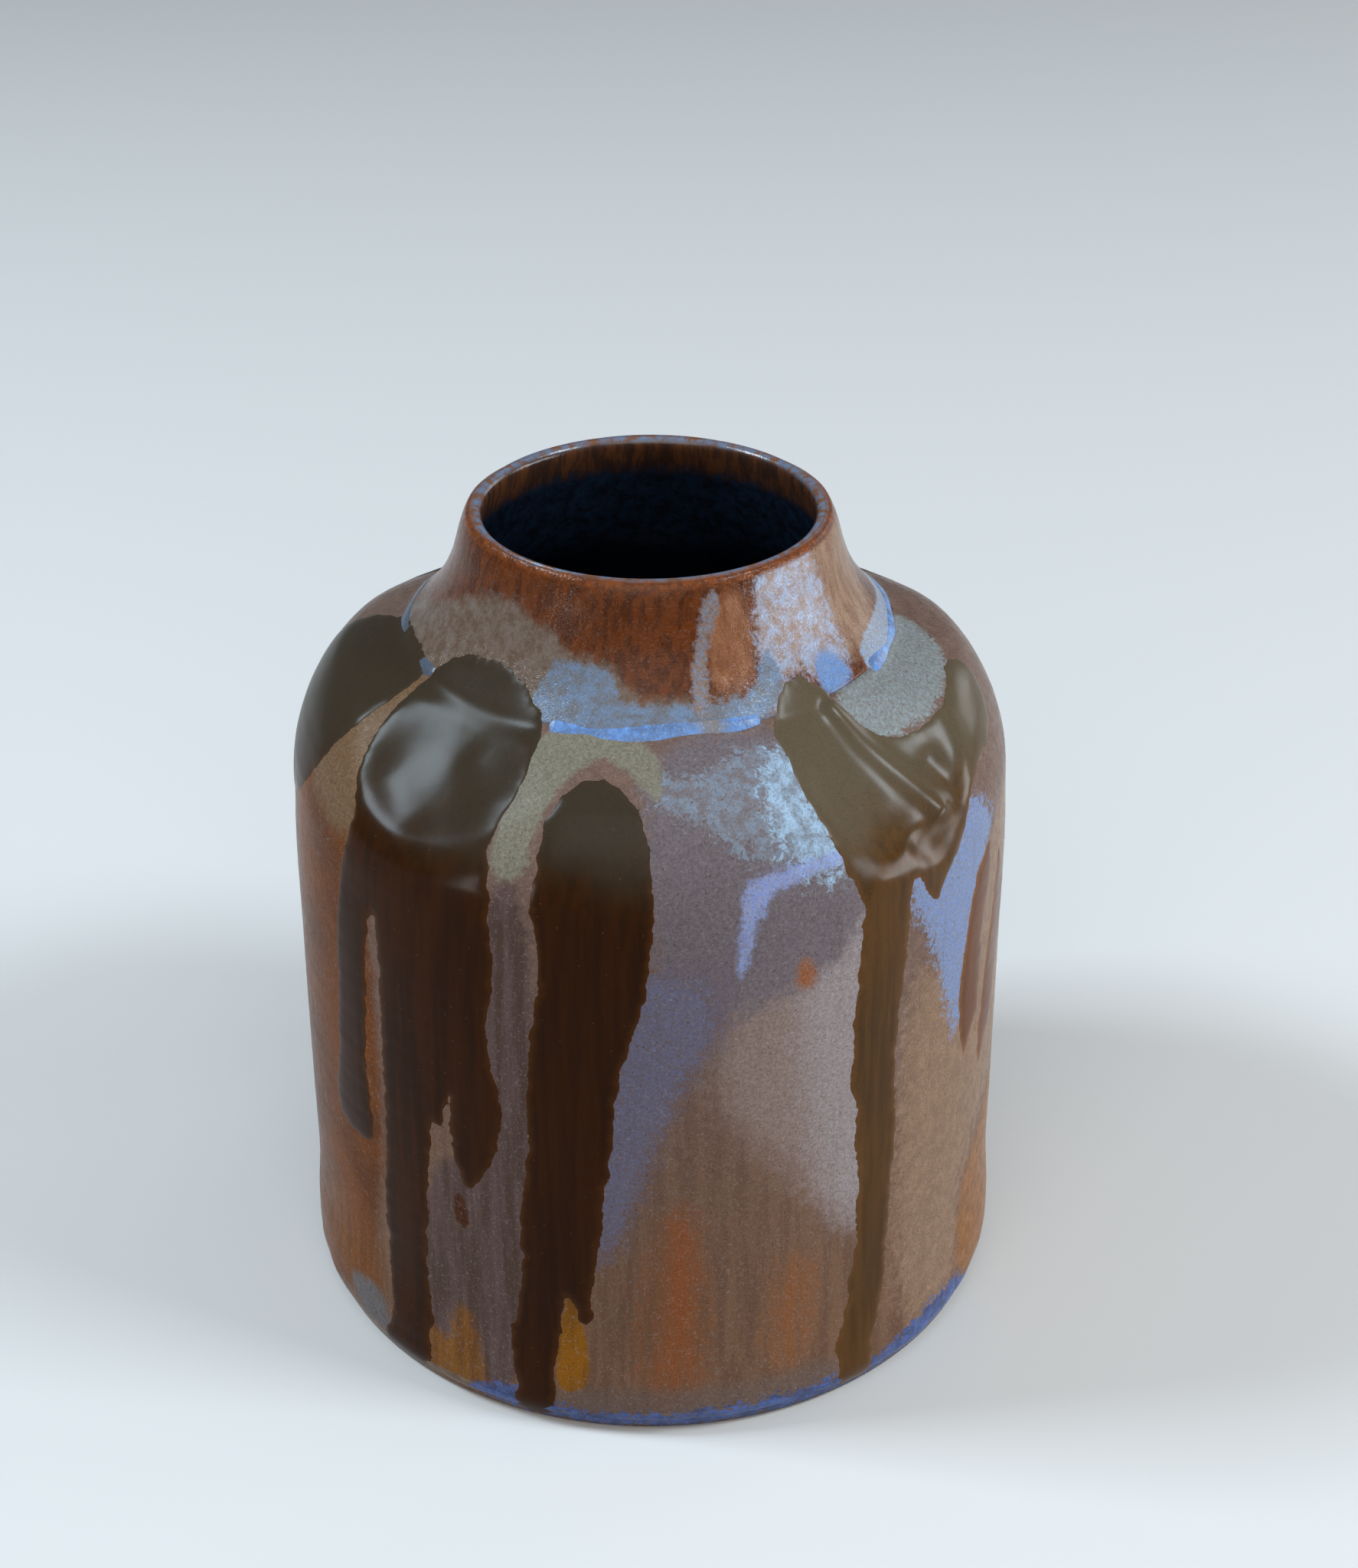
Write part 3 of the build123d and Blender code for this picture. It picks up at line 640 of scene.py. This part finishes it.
pour = {"grid": 0.62, "lift": 0.2, "rampWidth": 1.0, "margin": 1.1, "raggedCoarse": 0.4, "raggedFine": 0.24, "sunk": 0.28, "body": 0.3}
runPieces = {}
for seed, (name, run) in enumerate(darkRuns.items()):
    outline = np.array(run["outline"])
    azLow, azHigh = outline[:, 0].min() - 2, outline[:, 0].max() + 2
    low, high = float(alongAt(max(outline[:, 1].min() - 1.5, 1.3))), float(alongAt(outline[:, 1].max() + 2))
    columns = int(math.radians(azHigh - azLow) * unwrapRadius / pour["grid"])
    lines = int((high - low) / pour["grid"])
    bm = bmesh.new()
    azLayer = bm.verts.layers.float.new("azimuth")
    alongLayer = bm.verts.layers.float.new("along")
    insideLayer = bm.verts.layers.float.new("inside")
    backLayer = bm.verts.layers.float.new("back")
    bmesh.ops.create_grid(bm, x_segments=columns, y_segments=lines, size=1.0)
    flat = np.array([v.co[:2] for v in bm.verts])
    azimuth = azLow + (flat[:, 0] + 1) / 2 * (azHigh - azLow)
    along = low + (flat[:, 1] + 1) / 2 * (high - low)
    inside = insideDistance(azimuth, along, outline)
    rough = np.abs(inside) < 4
    coarse = pour["raggedCoarse"] * ragged(azimuth[rough], along[rough], 3.1, seed)
    fine = pour["raggedFine"] * ragged(azimuth[rough], along[rough], 1.1, seed + 50)
    inside[rough] += coarse + fine
    for v, a, s, d in zip(bm.verts, azimuth, along, inside):
        v[azLayer], v[alongLayer], v[insideLayer] = a, s, d
    bmesh.ops.delete(bm, geom=[v for v in bm.verts if v[insideLayer] < -pour["margin"]], context="VERTS")
    loose = [v for v in bm.verts if not v.link_faces]
    bmesh.ops.delete(bm, geom=loose, context="VERTS")
    # the sheet of glaze gets a back, sunk into the coat below
    sheet = bmesh.ops.extrude_face_region(bm, geom=bm.faces[:], use_keep_orig=True)
    for v in sheet["geom"]:
        if isinstance(v, bmesh.types.BMVert):
            v[backLayer] = 1
    piece = newPiece(name, bm, [run["node"]])
    mesh = piece.data
    azimuth, along, inside, back = (readAttribute(mesh, k) for k in ("azimuth", "along", "inside", "back"))
    lift = pour["lift"] * (1 - np.exp(-inside / pour["rampWidth"]))
    lift = np.maximum(lift, -pour["sunk"]) - back * pour["body"]
    lift = np.where(back > 0.5, np.minimum(lift, -pour["sunk"] - 0.05), lift)
    setPoints(mesh, wallPoint(azimuth, along, -lift))
    faceOutward(mesh)
    runPieces[name] = piece
    print(name, len(mesh.vertices), "points")

def colour(r, g, b):
    # a colour given in 0-255 steps, made linear
    return tuple(((c / 255 + 0.055) / 1.055) ** 2.4 if c > 10 else c / 255 / 12.92 for c in (r, g, b)) + (1.0,)


class Finish:
    # small helper for building one node tree

    def __init__(self, name):
        self.material = bpy.data.materials.new(name)
        self.material.use_nodes = True
        self.tree = self.material.node_tree
        self.shader = self.tree.nodes["Principled BSDF"]
        self.place = self.tree.nodes.new("ShaderNodeTexCoord").outputs["Object"]

    def put(self, socket, value):
        if isinstance(value, bpy.types.NodeSocket):
            self.tree.links.new(value, socket)
        else:
            socket.default_value = value

    def noise(self, perMetre, detail=3.0, roughness=0.5, stretch=(1, 1, 1), shift=0.0, distortion=0.0):
        mapping = self.tree.nodes.new("ShaderNodeMapping")
        mapping.inputs["Scale"].default_value = stretch
        mapping.inputs["Location"].default_value = (shift, shift * 0.7, shift * 0.3)
        self.put(mapping.inputs["Vector"], self.place)
        texture = self.tree.nodes.new("ShaderNodeTexNoise")
        self.put(texture.inputs["Vector"], mapping.outputs["Vector"])
        texture.inputs["Scale"].default_value = perMetre
        texture.inputs["Detail"].default_value = detail
        texture.inputs["Roughness"].default_value = roughness
        texture.inputs["Distortion"].default_value = distortion
        return texture.outputs["Fac"]

    def cells(self, perMetre):
        texture = self.tree.nodes.new("ShaderNodeTexVoronoi")
        self.put(texture.inputs["Vector"], self.place)
        texture.inputs["Scale"].default_value = perMetre
        return texture.outputs["Distance"]

    def math(self, operation, a, b=0.0, clamp=False):
        made = self.tree.nodes.new("ShaderNodeMath")
        made.operation = operation
        made.use_clamp = clamp
        self.put(made.inputs[0], a)
        self.put(made.inputs[1], b)
        return made.outputs[0]

    def spread(self, value, low, high, toLow=0.0, toHigh=1.0):
        made = self.tree.nodes.new("ShaderNodeMapRange")
        made.interpolation_type = "SMOOTHSTEP"
        self.put(made.inputs["Value"], value)
        made.inputs["From Min"].default_value = low
        made.inputs["From Max"].default_value = high
        made.inputs["To Min"].default_value = toLow
        made.inputs["To Max"].default_value = toHigh
        return made.outputs["Result"]

    def mix(self, share, a, b):
        made = self.tree.nodes.new("ShaderNodeMix")
        made.data_type = "RGBA"
        self.put(made.inputs[0], share)
        self.put(made.inputs[6], a)
        self.put(made.inputs[7], b)
        return made.outputs[2]

    def field(self, name):
        made = self.tree.nodes.new("ShaderNodeAttribute")
        made.attribute_name = name
        return made.outputs["Fac"]

    def height(self):
        made = self.tree.nodes.new("ShaderNodeSeparateXYZ")
        self.put(made.inputs[0], self.place)
        return made.outputs["Z"]

    def bump(self, height, strength, distance):
        made = self.tree.nodes.new("ShaderNodeBump")
        made.inputs["Strength"].default_value = strength
        made.inputs["Distance"].default_value = distance
        self.put(made.inputs["Height"], height)
        return made.outputs["Normal"]

    def finish(self, piece, baseColour, roughness, normal=None, **sockets):
        self.put(self.shader.inputs["Base Color"], baseColour)
        self.put(self.shader.inputs["Roughness"], roughness)
        if normal is not None:
            self.put(self.shader.inputs["Normal"], normal)
        for name, value in sockets.items():
            self.shader.inputs[name.replace("_", " ")].default_value = value
        piece.data.materials.clear()
        piece.data.materials.append(self.material)


def layGlaze(f, below, patch, shared):
    # one glaze colour over what is below, broken at its edge by noise; wobble and soft are in millimetres
    first, second = colour(*patch["colours"][0]), colour(*patch["colours"][1])
    tone = f.mix(f.spread(shared[patch.get("grain", "grain")], 0.36, 0.64), first, second)
    broken = f.math("MULTIPLY", f.math("SUBTRACT", shared[patch.get("edge", "broken")], 0.5), patch["wobble"] * 2.4)
    reach = f.math("ADD", f.field(patch["field"]), broken)
    share = f.spread(reach, -patch["soft"], patch["soft"], 0.0, patch.get("strength", 1.0))
    return f.mix(share, below, tone)


def sharedNoise(f):
    return {
        "grain": f.noise(1500, 4, 0.7, shift=0.6),
        "mottle": f.noise(420, 5, 0.7),
        "cloud": f.noise(60, 4, 0.55, shift=0.4),
        "streak": f.noise(420, 4, 0.65, stretch=(1, 1, 0.07), shift=0.9),
        "broken": f.noise(520, 6, 0.75, shift=0.2),
        "lace": f.noise(560, 4, 0.7, shift=0.5, distortion=1.4),
        "fine": f.noise(2600, 3, 0.6, shift=0.7),
        "worms": f.noise(1700, 2, 0.5, shift=0.1, distortion=1.6),
    }


bodyLook = {
    "ground": ((100, 80, 71), (88, 70, 62)),
    "groundLow": ((98, 73, 56), (88, 64, 50)),
    "layers": [
        {"field": "beigeRight", "colours": ((120, 96, 78), (108, 86, 70)), "soft": 3.5, "wobble": 9.0, "grain": "mottle"},
        {"field": "warmLeft", "colours": ((94, 48, 5), (76, 38, 4)), "soft": 2.0, "wobble": 2.5, "grain": "cloud"},
        {"field": "warmLeftPale", "colours": ((102, 58, 16), (88, 48, 12)), "soft": 4.0, "wobble": 4.0, "grain": "streak"},
        {"field": "warmShoulder", "colours": ((100, 78, 56), (88, 68, 50)), "soft": 3.0, "wobble": 3.0},
        {"field": "mauveStrip", "colours": ((80, 64, 62), (64, 49, 43)), "soft": 1.5, "wobble": 2.5, "grain": "streak"},
        {"field": "paleField", "colours": ((118, 102, 96), (106, 90, 84)), "soft": 5.0, "wobble": 5.0},
        {"field": "paleEdge", "colours": ((130, 122, 124), (118, 108, 108)), "soft": 5.0, "wobble": 5.0, "strength": 0.85},
        {"field": "greyVeil", "colours": ((96, 88, 92), (84, 76, 80)), "soft": 3.0, "wobble": 6.0},
        {"field": "blueStrip", "colours": ((84, 78, 92), (90, 78, 80)), "soft": 2.4, "wobble": 5.0, "strength": 0.85},
        {"field": "blueTufts", "colours": ((86, 92, 120), (84, 80, 92)), "soft": 0.9, "wobble": 6.0, "strength": 0.6, "edge": "lace"},
        {
            "field": "blueCrown", "colours": ((108, 122, 138), (98, 92, 94)), "soft": 0.8, "wobble": 8.0, "edge": "lace",
            "strength": 0.8, "grain": "mottle",
        },
        {
            "field": "crownLight", "colours": ((132, 156, 178), (104, 112, 122)), "soft": 0.5, "wobble": 8.0, "edge": "lace", "grain": "mottle",
        },
        {"field": "blueEdge", "colours": ((112, 132, 184), (126, 132, 160)), "soft": 0.9, "wobble": 2.4, "strength": 0.8},
        {"field": "greenArch", "colours": ((110, 108, 94), (98, 92, 82)), "soft": 0.9, "wobble": 2.0},
        {"field": "rustFront", "colours": ((116, 62, 28), (100, 68, 46)), "soft": 3.0, "wobble": 6.0, "grain": "streak", "strength": 0.8},
        {"field": "rustRight", "colours": ((114, 68, 36), (102, 74, 54)), "soft": 3.0, "wobble": 6.0, "grain": "streak", "strength": 0.7},
        {"field": "footVeil", "colours": ((90, 78, 74), (84, 70, 64)), "soft": 2.5, "wobble": 3.0, "strength": 0.7},
        {"field": "blueTriangle", "colours": ((98, 116, 156), (106, 112, 128)), "soft": 1.0, "wobble": 6.0, "edge": "lace"},
        {"field": "skyTop", "colours": ((116, 126, 130), (104, 104, 102)), "soft": 1.0, "wobble": 4.0, "edge": "lace"},
        {"field": "warmRight", "colours": ((122, 80, 44), (104, 68, 38)), "soft": 1.4, "wobble": 5.0, "grain": "mottle"},
        {"field": "tanStreak", "colours": ((108, 70, 28), (90, 56, 24)), "soft": 1.5, "wobble": 2.5, "grain": "streak"},
        {"field": "amberWedge", "colours": ((118, 74, 12), (94, 60, 16)), "soft": 0.5, "wobble": 0.8, "grain": "streak"},
        {"field": "rustSpot", "colours": ((122, 66, 32), (116, 80, 58)), "soft": 1.2, "wobble": 1.6},
        {"field": "darkFleck", "colours": ((50, 22, 8), (66, 34, 16)), "soft": 0.4, "wobble": 1.0},
        {"field": "backWarm", "colours": ((112, 68, 28), (98, 60, 28)), "soft": 2.5, "wobble": 4.0, "grain": "streak"},
        {"field": "backBlue", "colours": ((112, 134, 162), (110, 110, 118)), "soft": 0.6, "wobble": 5.0, "edge": "lace"},
        {"field": "backPale", "colours": ((126, 116, 116), (110, 98, 94)), "soft": 4.0, "wobble": 5.0},
        {"field": "blueFootLeft", "colours": ((86, 86, 92), (80, 70, 62)), "soft": 1.0, "wobble": 2.0},
        {"field": "blueFootBack", "colours": ((52, 62, 94), (68, 84, 130)), "soft": 0.35, "wobble": 5.0, "edge": "lace", "grain": "mottle"},
        {"field": "blueFoot", "colours": ((52, 62, 94), (68, 84, 130)), "soft": 0.35, "wobble": 5.0, "edge": "lace", "grain": "mottle"},
    ],
}


def bodyFinish(f, layers, roughness):
    # dipped glaze of the body: ground, patches, then grain, pinholes and iron specks
    shared = sharedNoise(f)
    upper = f.mix(f.spread(shared["mottle"], 0.35, 0.65), colour(*bodyLook["ground"][0]), colour(*bodyLook["ground"][1]))
    lower = f.mix(f.spread(shared["streak"], 0.4, 0.6), colour(*bodyLook["groundLow"][0]), colour(*bodyLook["groundLow"][1]))
    tone = f.mix(f.spread(f.height(), 0.02, 0.11), lower, upper)
    for patch in layers:
        tone = layGlaze(f, tone, patch, shared)
    tone = f.mix(f.spread(shared["fine"], 0.4, 0.7, 0.0, 0.34), tone, colour(56, 42, 36))
    tone = f.mix(f.spread(shared["worms"], 0.56, 0.7, 0.0, 0.16), tone, colour(160, 152, 150))
    tone = f.mix(f.spread(shared["streak"], 0.54, 0.74, 0.0, 0.2), tone, colour(70, 50, 38))
    tone = f.mix(f.spread(f.cells(640), 0.13, 0.05, 0.0, 0.7), tone, colour(48, 36, 30))
    wet = f.spread(shared["mottle"], 0.3, 0.7, roughness - 0.05, roughness + 0.07)
    relief = f.math("ADD", f.math("MULTIPLY", shared["fine"], 0.3), f.math("MULTIPLY", shared["mottle"], 0.7))
    return tone, wet, f.bump(relief, 0.5, 0.0003)


f = Finish("mottled stoneware glaze")
tone, wet, normal = bodyFinish(f, bodyLook["layers"], 0.22)
f.finish(bodyGlazePiece, tone, wet, normal, Specular_IOR_Level=0.025)

f = Finish("blue glaze bead at the foot")
shared = sharedNoise(f)
tone = f.mix(f.spread(shared["mottle"], 0.35, 0.65), colour(98, 80, 66), colour(78, 62, 52))
for patch in bodyLook["layers"]:
    if patch["field"] in footRollPatches:
        tone = layGlaze(f, tone, patch, shared)
f.finish(footRollPiece, tone, 0.2, f.bump(shared["mottle"], 0.3, 0.0003), Specular_IOR_Level=0.1)

neckLook = {
    "ground": ((84, 40, 11), (60, 27, 7)),
    "layers": [
        {"field": "tanSide", "colours": ((124, 84, 60), (104, 64, 40)), "soft": 2.4, "wobble": 3.0, "grain": "streak"},
        {"field": "greyFoot", "colours": ((98, 86, 78), (82, 66, 54)), "soft": 1.6, "wobble": 3.0, "grain": "mottle"},
        {"field": "backGrey", "colours": ((108, 98, 92), (92, 78, 68)), "soft": 1.0, "wobble": 2.0},
        {"field": "tanEdge", "colours": ((122, 96, 76), (104, 74, 54)), "soft": 3.0, "wobble": 4.0, "grain": "streak"},
        # pale lilac glaze with a painted window highlight mixed into its colour
        {"field": "paleGlazeAndHighlight", "colours": ((128, 138, 160), (120, 100, 90)), "soft": 2.2, "wobble": 6.0, "edge": "lace", "grain": "mottle"},
        {"field": "blueFold", "colours": ((90, 108, 132), (88, 90, 96)), "soft": 0.8, "wobble": 2.6, "grain": "mottle"},
        {"field": "blueTongue", "colours": ((100, 108, 124), (112, 88, 72)), "soft": 1.0, "wobble": 3.4},
        {"field": "backBlue", "colours": ((90, 114, 150), (94, 102, 116)), "soft": 0.5, "wobble": 1.6},
        {"field": "blueSpot", "colours": ((84, 118, 168), (92, 110, 140)), "soft": 1.2, "wobble": 1.0},
        {"field": "rightSeam", "colours": ((112, 134, 164), (120, 116, 114)), "soft": 0.5, "wobble": 1.2},
    ],
}
f = Finish("brushed iron-red neck glaze")
shared = sharedNoise(f)
brush = f.noise(700, 3, 0.6, stretch=(1, 1, 0.06), shift=0.3)
tone = f.mix(f.spread(brush, 0.38, 0.62), colour(*neckLook["ground"][0]), colour(*neckLook["ground"][1]))
for patch in neckLook["layers"]:
    tone = layGlaze(f, tone, patch, shared)
tone = f.mix(f.spread(shared["fine"], 0.4, 0.7, 0.0, 0.3), tone, colour(54, 34, 24))
tone = f.mix(f.spread(shared["worms"], 0.58, 0.72, 0.0, 0.1), tone, colour(150, 136, 130))
lipEdge = f.spread(f.height(), 0.1582, 0.1589)
tone = f.mix(lipEdge, tone, f.mix(f.spread(shared["broken"], 0.4, 0.6), colour(100, 52, 22), colour(74, 38, 18)))
lipTop = f.spread(f.math("ADD", f.height(), f.math("MULTIPLY", shared["broken"], 0.0005)), 0.1599, 0.1602, 0.0, 0.55)
tone = f.mix(lipTop, tone, f.mix(f.spread(shared["mottle"], 0.4, 0.6), colour(104, 106, 118), colour(96, 76, 66)))
wet = f.spread(shared["mottle"], 0.3, 0.7, 0.12, 0.22)
normal = f.bump(f.math("ADD", shared["worms"], f.math("MULTIPLY", brush, 0.6)), 0.35, 0.0003)
f.finish(neckGlazePiece, tone, wet, normal, Specular_IOR_Level=0.14)

f = Finish("dark liner glaze")
shared = sharedNoise(f)
tone = f.mix(f.spread(shared["mottle"], 0.35, 0.65), colour(18, 30, 46), colour(12, 15, 22))
band = f.spread(f.math("ADD", f.height(), f.math("MULTIPLY", f.math("SUBTRACT", shared["mottle"], 0.5), 0.004)), 0.1515, 0.1555)
tone = f.mix(band, tone, f.mix(f.spread(shared["streak"], 0.4, 0.6), colour(74, 44, 26), colour(46, 30, 24)))
lipInside = f.mix(f.spread(shared["mottle"], 0.42, 0.62), colour(84, 96, 116), colour(96, 62, 40))
tone = f.mix(f.spread(f.height(), 0.1588, 0.1597), tone, lipInside)
f.finish(linerPiece, tone, 0.2, f.bump(shared["mottle"], 0.3, 0.0003), Specular_IOR_Level=0.3)

f = Finish("blue glaze bead at the neck")
shared = sharedNoise(f)
tone = f.mix(f.spread(shared["mottle"], 0.38, 0.62), colour(84, 120, 172), colour(74, 94, 128))
tone = f.mix(f.spread(shared["cloud"], 0.5, 0.7), tone, colour(104, 98, 92))
tone = f.mix(f.spread(shared["worms"], 0.55, 0.7, 0, 0.3), tone, colour(150, 168, 190))
tone = f.mix(f.math("MULTIPLY", f.field("dull"), 0.85), tone, colour(62, 64, 66))
f.finish(seamRollPiece, tone, 0.18, f.bump(shared["mottle"], 0.4, 0.0003), Specular_IOR_Level=0.14)

f = Finish("bare fired clay")
shared = sharedNoise(f)
tone = f.mix(f.spread(shared["mottle"], 0.35, 0.65), colour(150, 116, 86), colour(118, 86, 62))
tone = f.mix(f.spread(f.cells(900), 0.16, 0.06, 0, 0.8), tone, colour(62, 42, 30))
rings = f.noise(1400, 2, 0.5, stretch=(0.05, 0.05, 1))
for piece in (clayFloorPiece, clayHeelPiece, clayWallPiece, clayShoulderPiece, clayNeckPiece):
    f.finish(piece, tone, 0.82, f.bump(f.math("ADD", shared["fine"], rings), 0.5, 0.0003))

# the 'shoulder' colour of each look is a painted sky reflection on the upward-facing shoulder, not a glaze colour
runLooks = {
    "deep": {
        "core": ((43, 19, 2), (33, 14, 2)), "thin": (62, 34, 8), "shoulder": (50, 45, 36),
        "tint": (0.95, 0.98, 1.0, 1.0), "level": 0.05,
    },
    "warm": {
        "core": ((70, 45, 18), (56, 36, 14)), "thin": (84, 55, 26), "shoulder": (78, 71, 58),
        "tint": (0.96, 0.98, 1.0, 1.0), "level": 0.09,
    },
    "russet": {
        "core": ((84, 46, 20), (70, 38, 16)), "thin": (110, 74, 44), "shoulder": (84, 60, 42),
        "tint": (1.0, 0.96, 0.92, 1.0), "level": 0.1,
    },
}
for look, settings in runLooks.items():
    f = Finish("poured iron glaze, " + look)
    shared = sharedNoise(f)
    tone = f.mix(f.spread(shared["streak"], 0.35, 0.65), colour(*settings["core"][0]), colour(*settings["core"][1]))
    thin = f.spread(f.math("ADD", f.field("inside"), f.math("MULTIPLY", shared["mottle"], 1.6)), 0.4, 2.4, 0.75, 0.0)
    tone = f.mix(thin, tone, colour(*settings["thin"]))
    # painted sky reflection: each run turns to its shoulder colour from 119 to 134 mm up, where the wall faces upwards
    skyReflectionHeight = f.math("ADD", f.height(), f.math("MULTIPLY", shared["cloud"], 0.012))
    tone = f.mix(f.spread(skyReflectionHeight, 0.119, 0.134, 0.0, 0.75), tone, colour(*settings["shoulder"]))
    tone = f.mix(f.spread(shared["fine"], 0.45, 0.75, 0, 0.25), tone, colour(24, 14, 6))
    tone = f.mix(f.spread(f.cells(520), 0.08, 0.03, 0, 0.6), tone, colour(96, 74, 52))
    wet = f.spread(shared["cloud"], 0.3, 0.7, 0.2, 0.27)
    normal = f.bump(shared["cloud"], 0.25, 0.0004)
    for name, run in darkRuns.items():
        if run["look"] == look:
            f.finish(runPieces[name], tone, wet, normal, Specular_IOR_Level=settings["level"], Specular_Tint=settings["tint"])
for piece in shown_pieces():
    if piece.type == "MESH":
        piece.data.shade_smooth()
print("finishes done")

# floor, light and camera
bm = bmesh.new()
bmesh.ops.create_grid(bm, x_segments=1, y_segments=1, size=6.0)
floorMesh = bpy.data.meshes.new("floor")
bm.to_mesh(floorMesh)
bm.free()
floor = bpy.data.objects.new("floor", floorMesh)
bpy.context.scene.collection.objects.link(floor)
floor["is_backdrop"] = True
floorMaterial = bpy.data.materials.new("pale floor")
floorMaterial.use_nodes = True
floorShader = floorMaterial.node_tree.nodes["Principled BSDF"]
floorShader.inputs["Base Color"].default_value = (0.5, 0.5, 0.5, 1)
floorShader.inputs["Roughness"].default_value = 0.7
floorMesh.materials.append(floorMaterial)

lamps = [
    # name, azimuth, elevation, distance, width, height, watts, colour
    ("roomFront", -6, 40, 2.2, 2.2, 1.5, 28, (1.0, 0.99, 0.97)),
    ("windowLeft", -90, 46, 1.8, 0.44, 0.4, 30, (0.74, 0.89, 1.0)),
    ("windowRight", 84, 4, 1.7, 1.0, 0.5, 25, (0.95, 0.98, 1.0)),
    ("windowRightHigh", 72, 44, 1.9, 0.5, 0.42, 24, (0.84, 0.94, 1.0)),
    ("windowRightBack", 128, 12, 1.9, 0.8, 0.5, 5, (0.9, 0.96, 1.0)),
    ("windowFront", -55, 0, 2.2, 0.2, 0.22, 8, (1.0, 0.98, 0.96)),
    ("ceiling", 0, 85, 2.2, 1.6, 1.6, 6.5, (1.0, 0.99, 0.97)),
]
for name, azimuth, elevation, distance, width, height, watts, tint in lamps:
    data = bpy.data.lights.new(name, "AREA")
    data.shape, data.size, data.size_y, data.energy, data.color = "RECTANGLE", width, height, watts, tint
    lamp = bpy.data.objects.new(name, data)
    a, e = math.radians(azimuth), math.radians(elevation)
    lamp.location = (distance * math.sin(a) * math.cos(e), -distance * math.cos(a) * math.cos(e), distance * math.sin(e) + 0.08)
    lamp.rotation_euler = (Vector((0, 0, 0.08)) - lamp.location).to_track_quat("-Z", "Y").to_euler()
    bpy.context.scene.collection.objects.link(lamp)

world = bpy.data.worlds.new("studio")
world.use_nodes = True
world.node_tree.nodes["Background"].inputs["Color"].default_value = (0.95, 0.97, 1.0, 1)
world.node_tree.nodes["Background"].inputs["Strength"].default_value = 0.15
bpy.context.scene.world = world
bpy.context.scene.view_settings.view_transform = "Standard"

view = {"sensor": 36, "lens": 58.0, "place": (0, -0.417, 0.346), "down": 30.39, "aside": -0.74}
cameraData = bpy.data.cameras.new("camera")
cameraData.sensor_width = view["sensor"]
cameraData.lens = view["lens"]
camera = bpy.data.objects.new("camera", cameraData)
camera.location = view["place"]
camera.rotation_euler = (math.radians(90 - view["down"]), 0, math.radians(view["aside"]))
bpy.context.scene.collection.objects.link(camera)
bpy.context.scene.camera = camera

low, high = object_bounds()
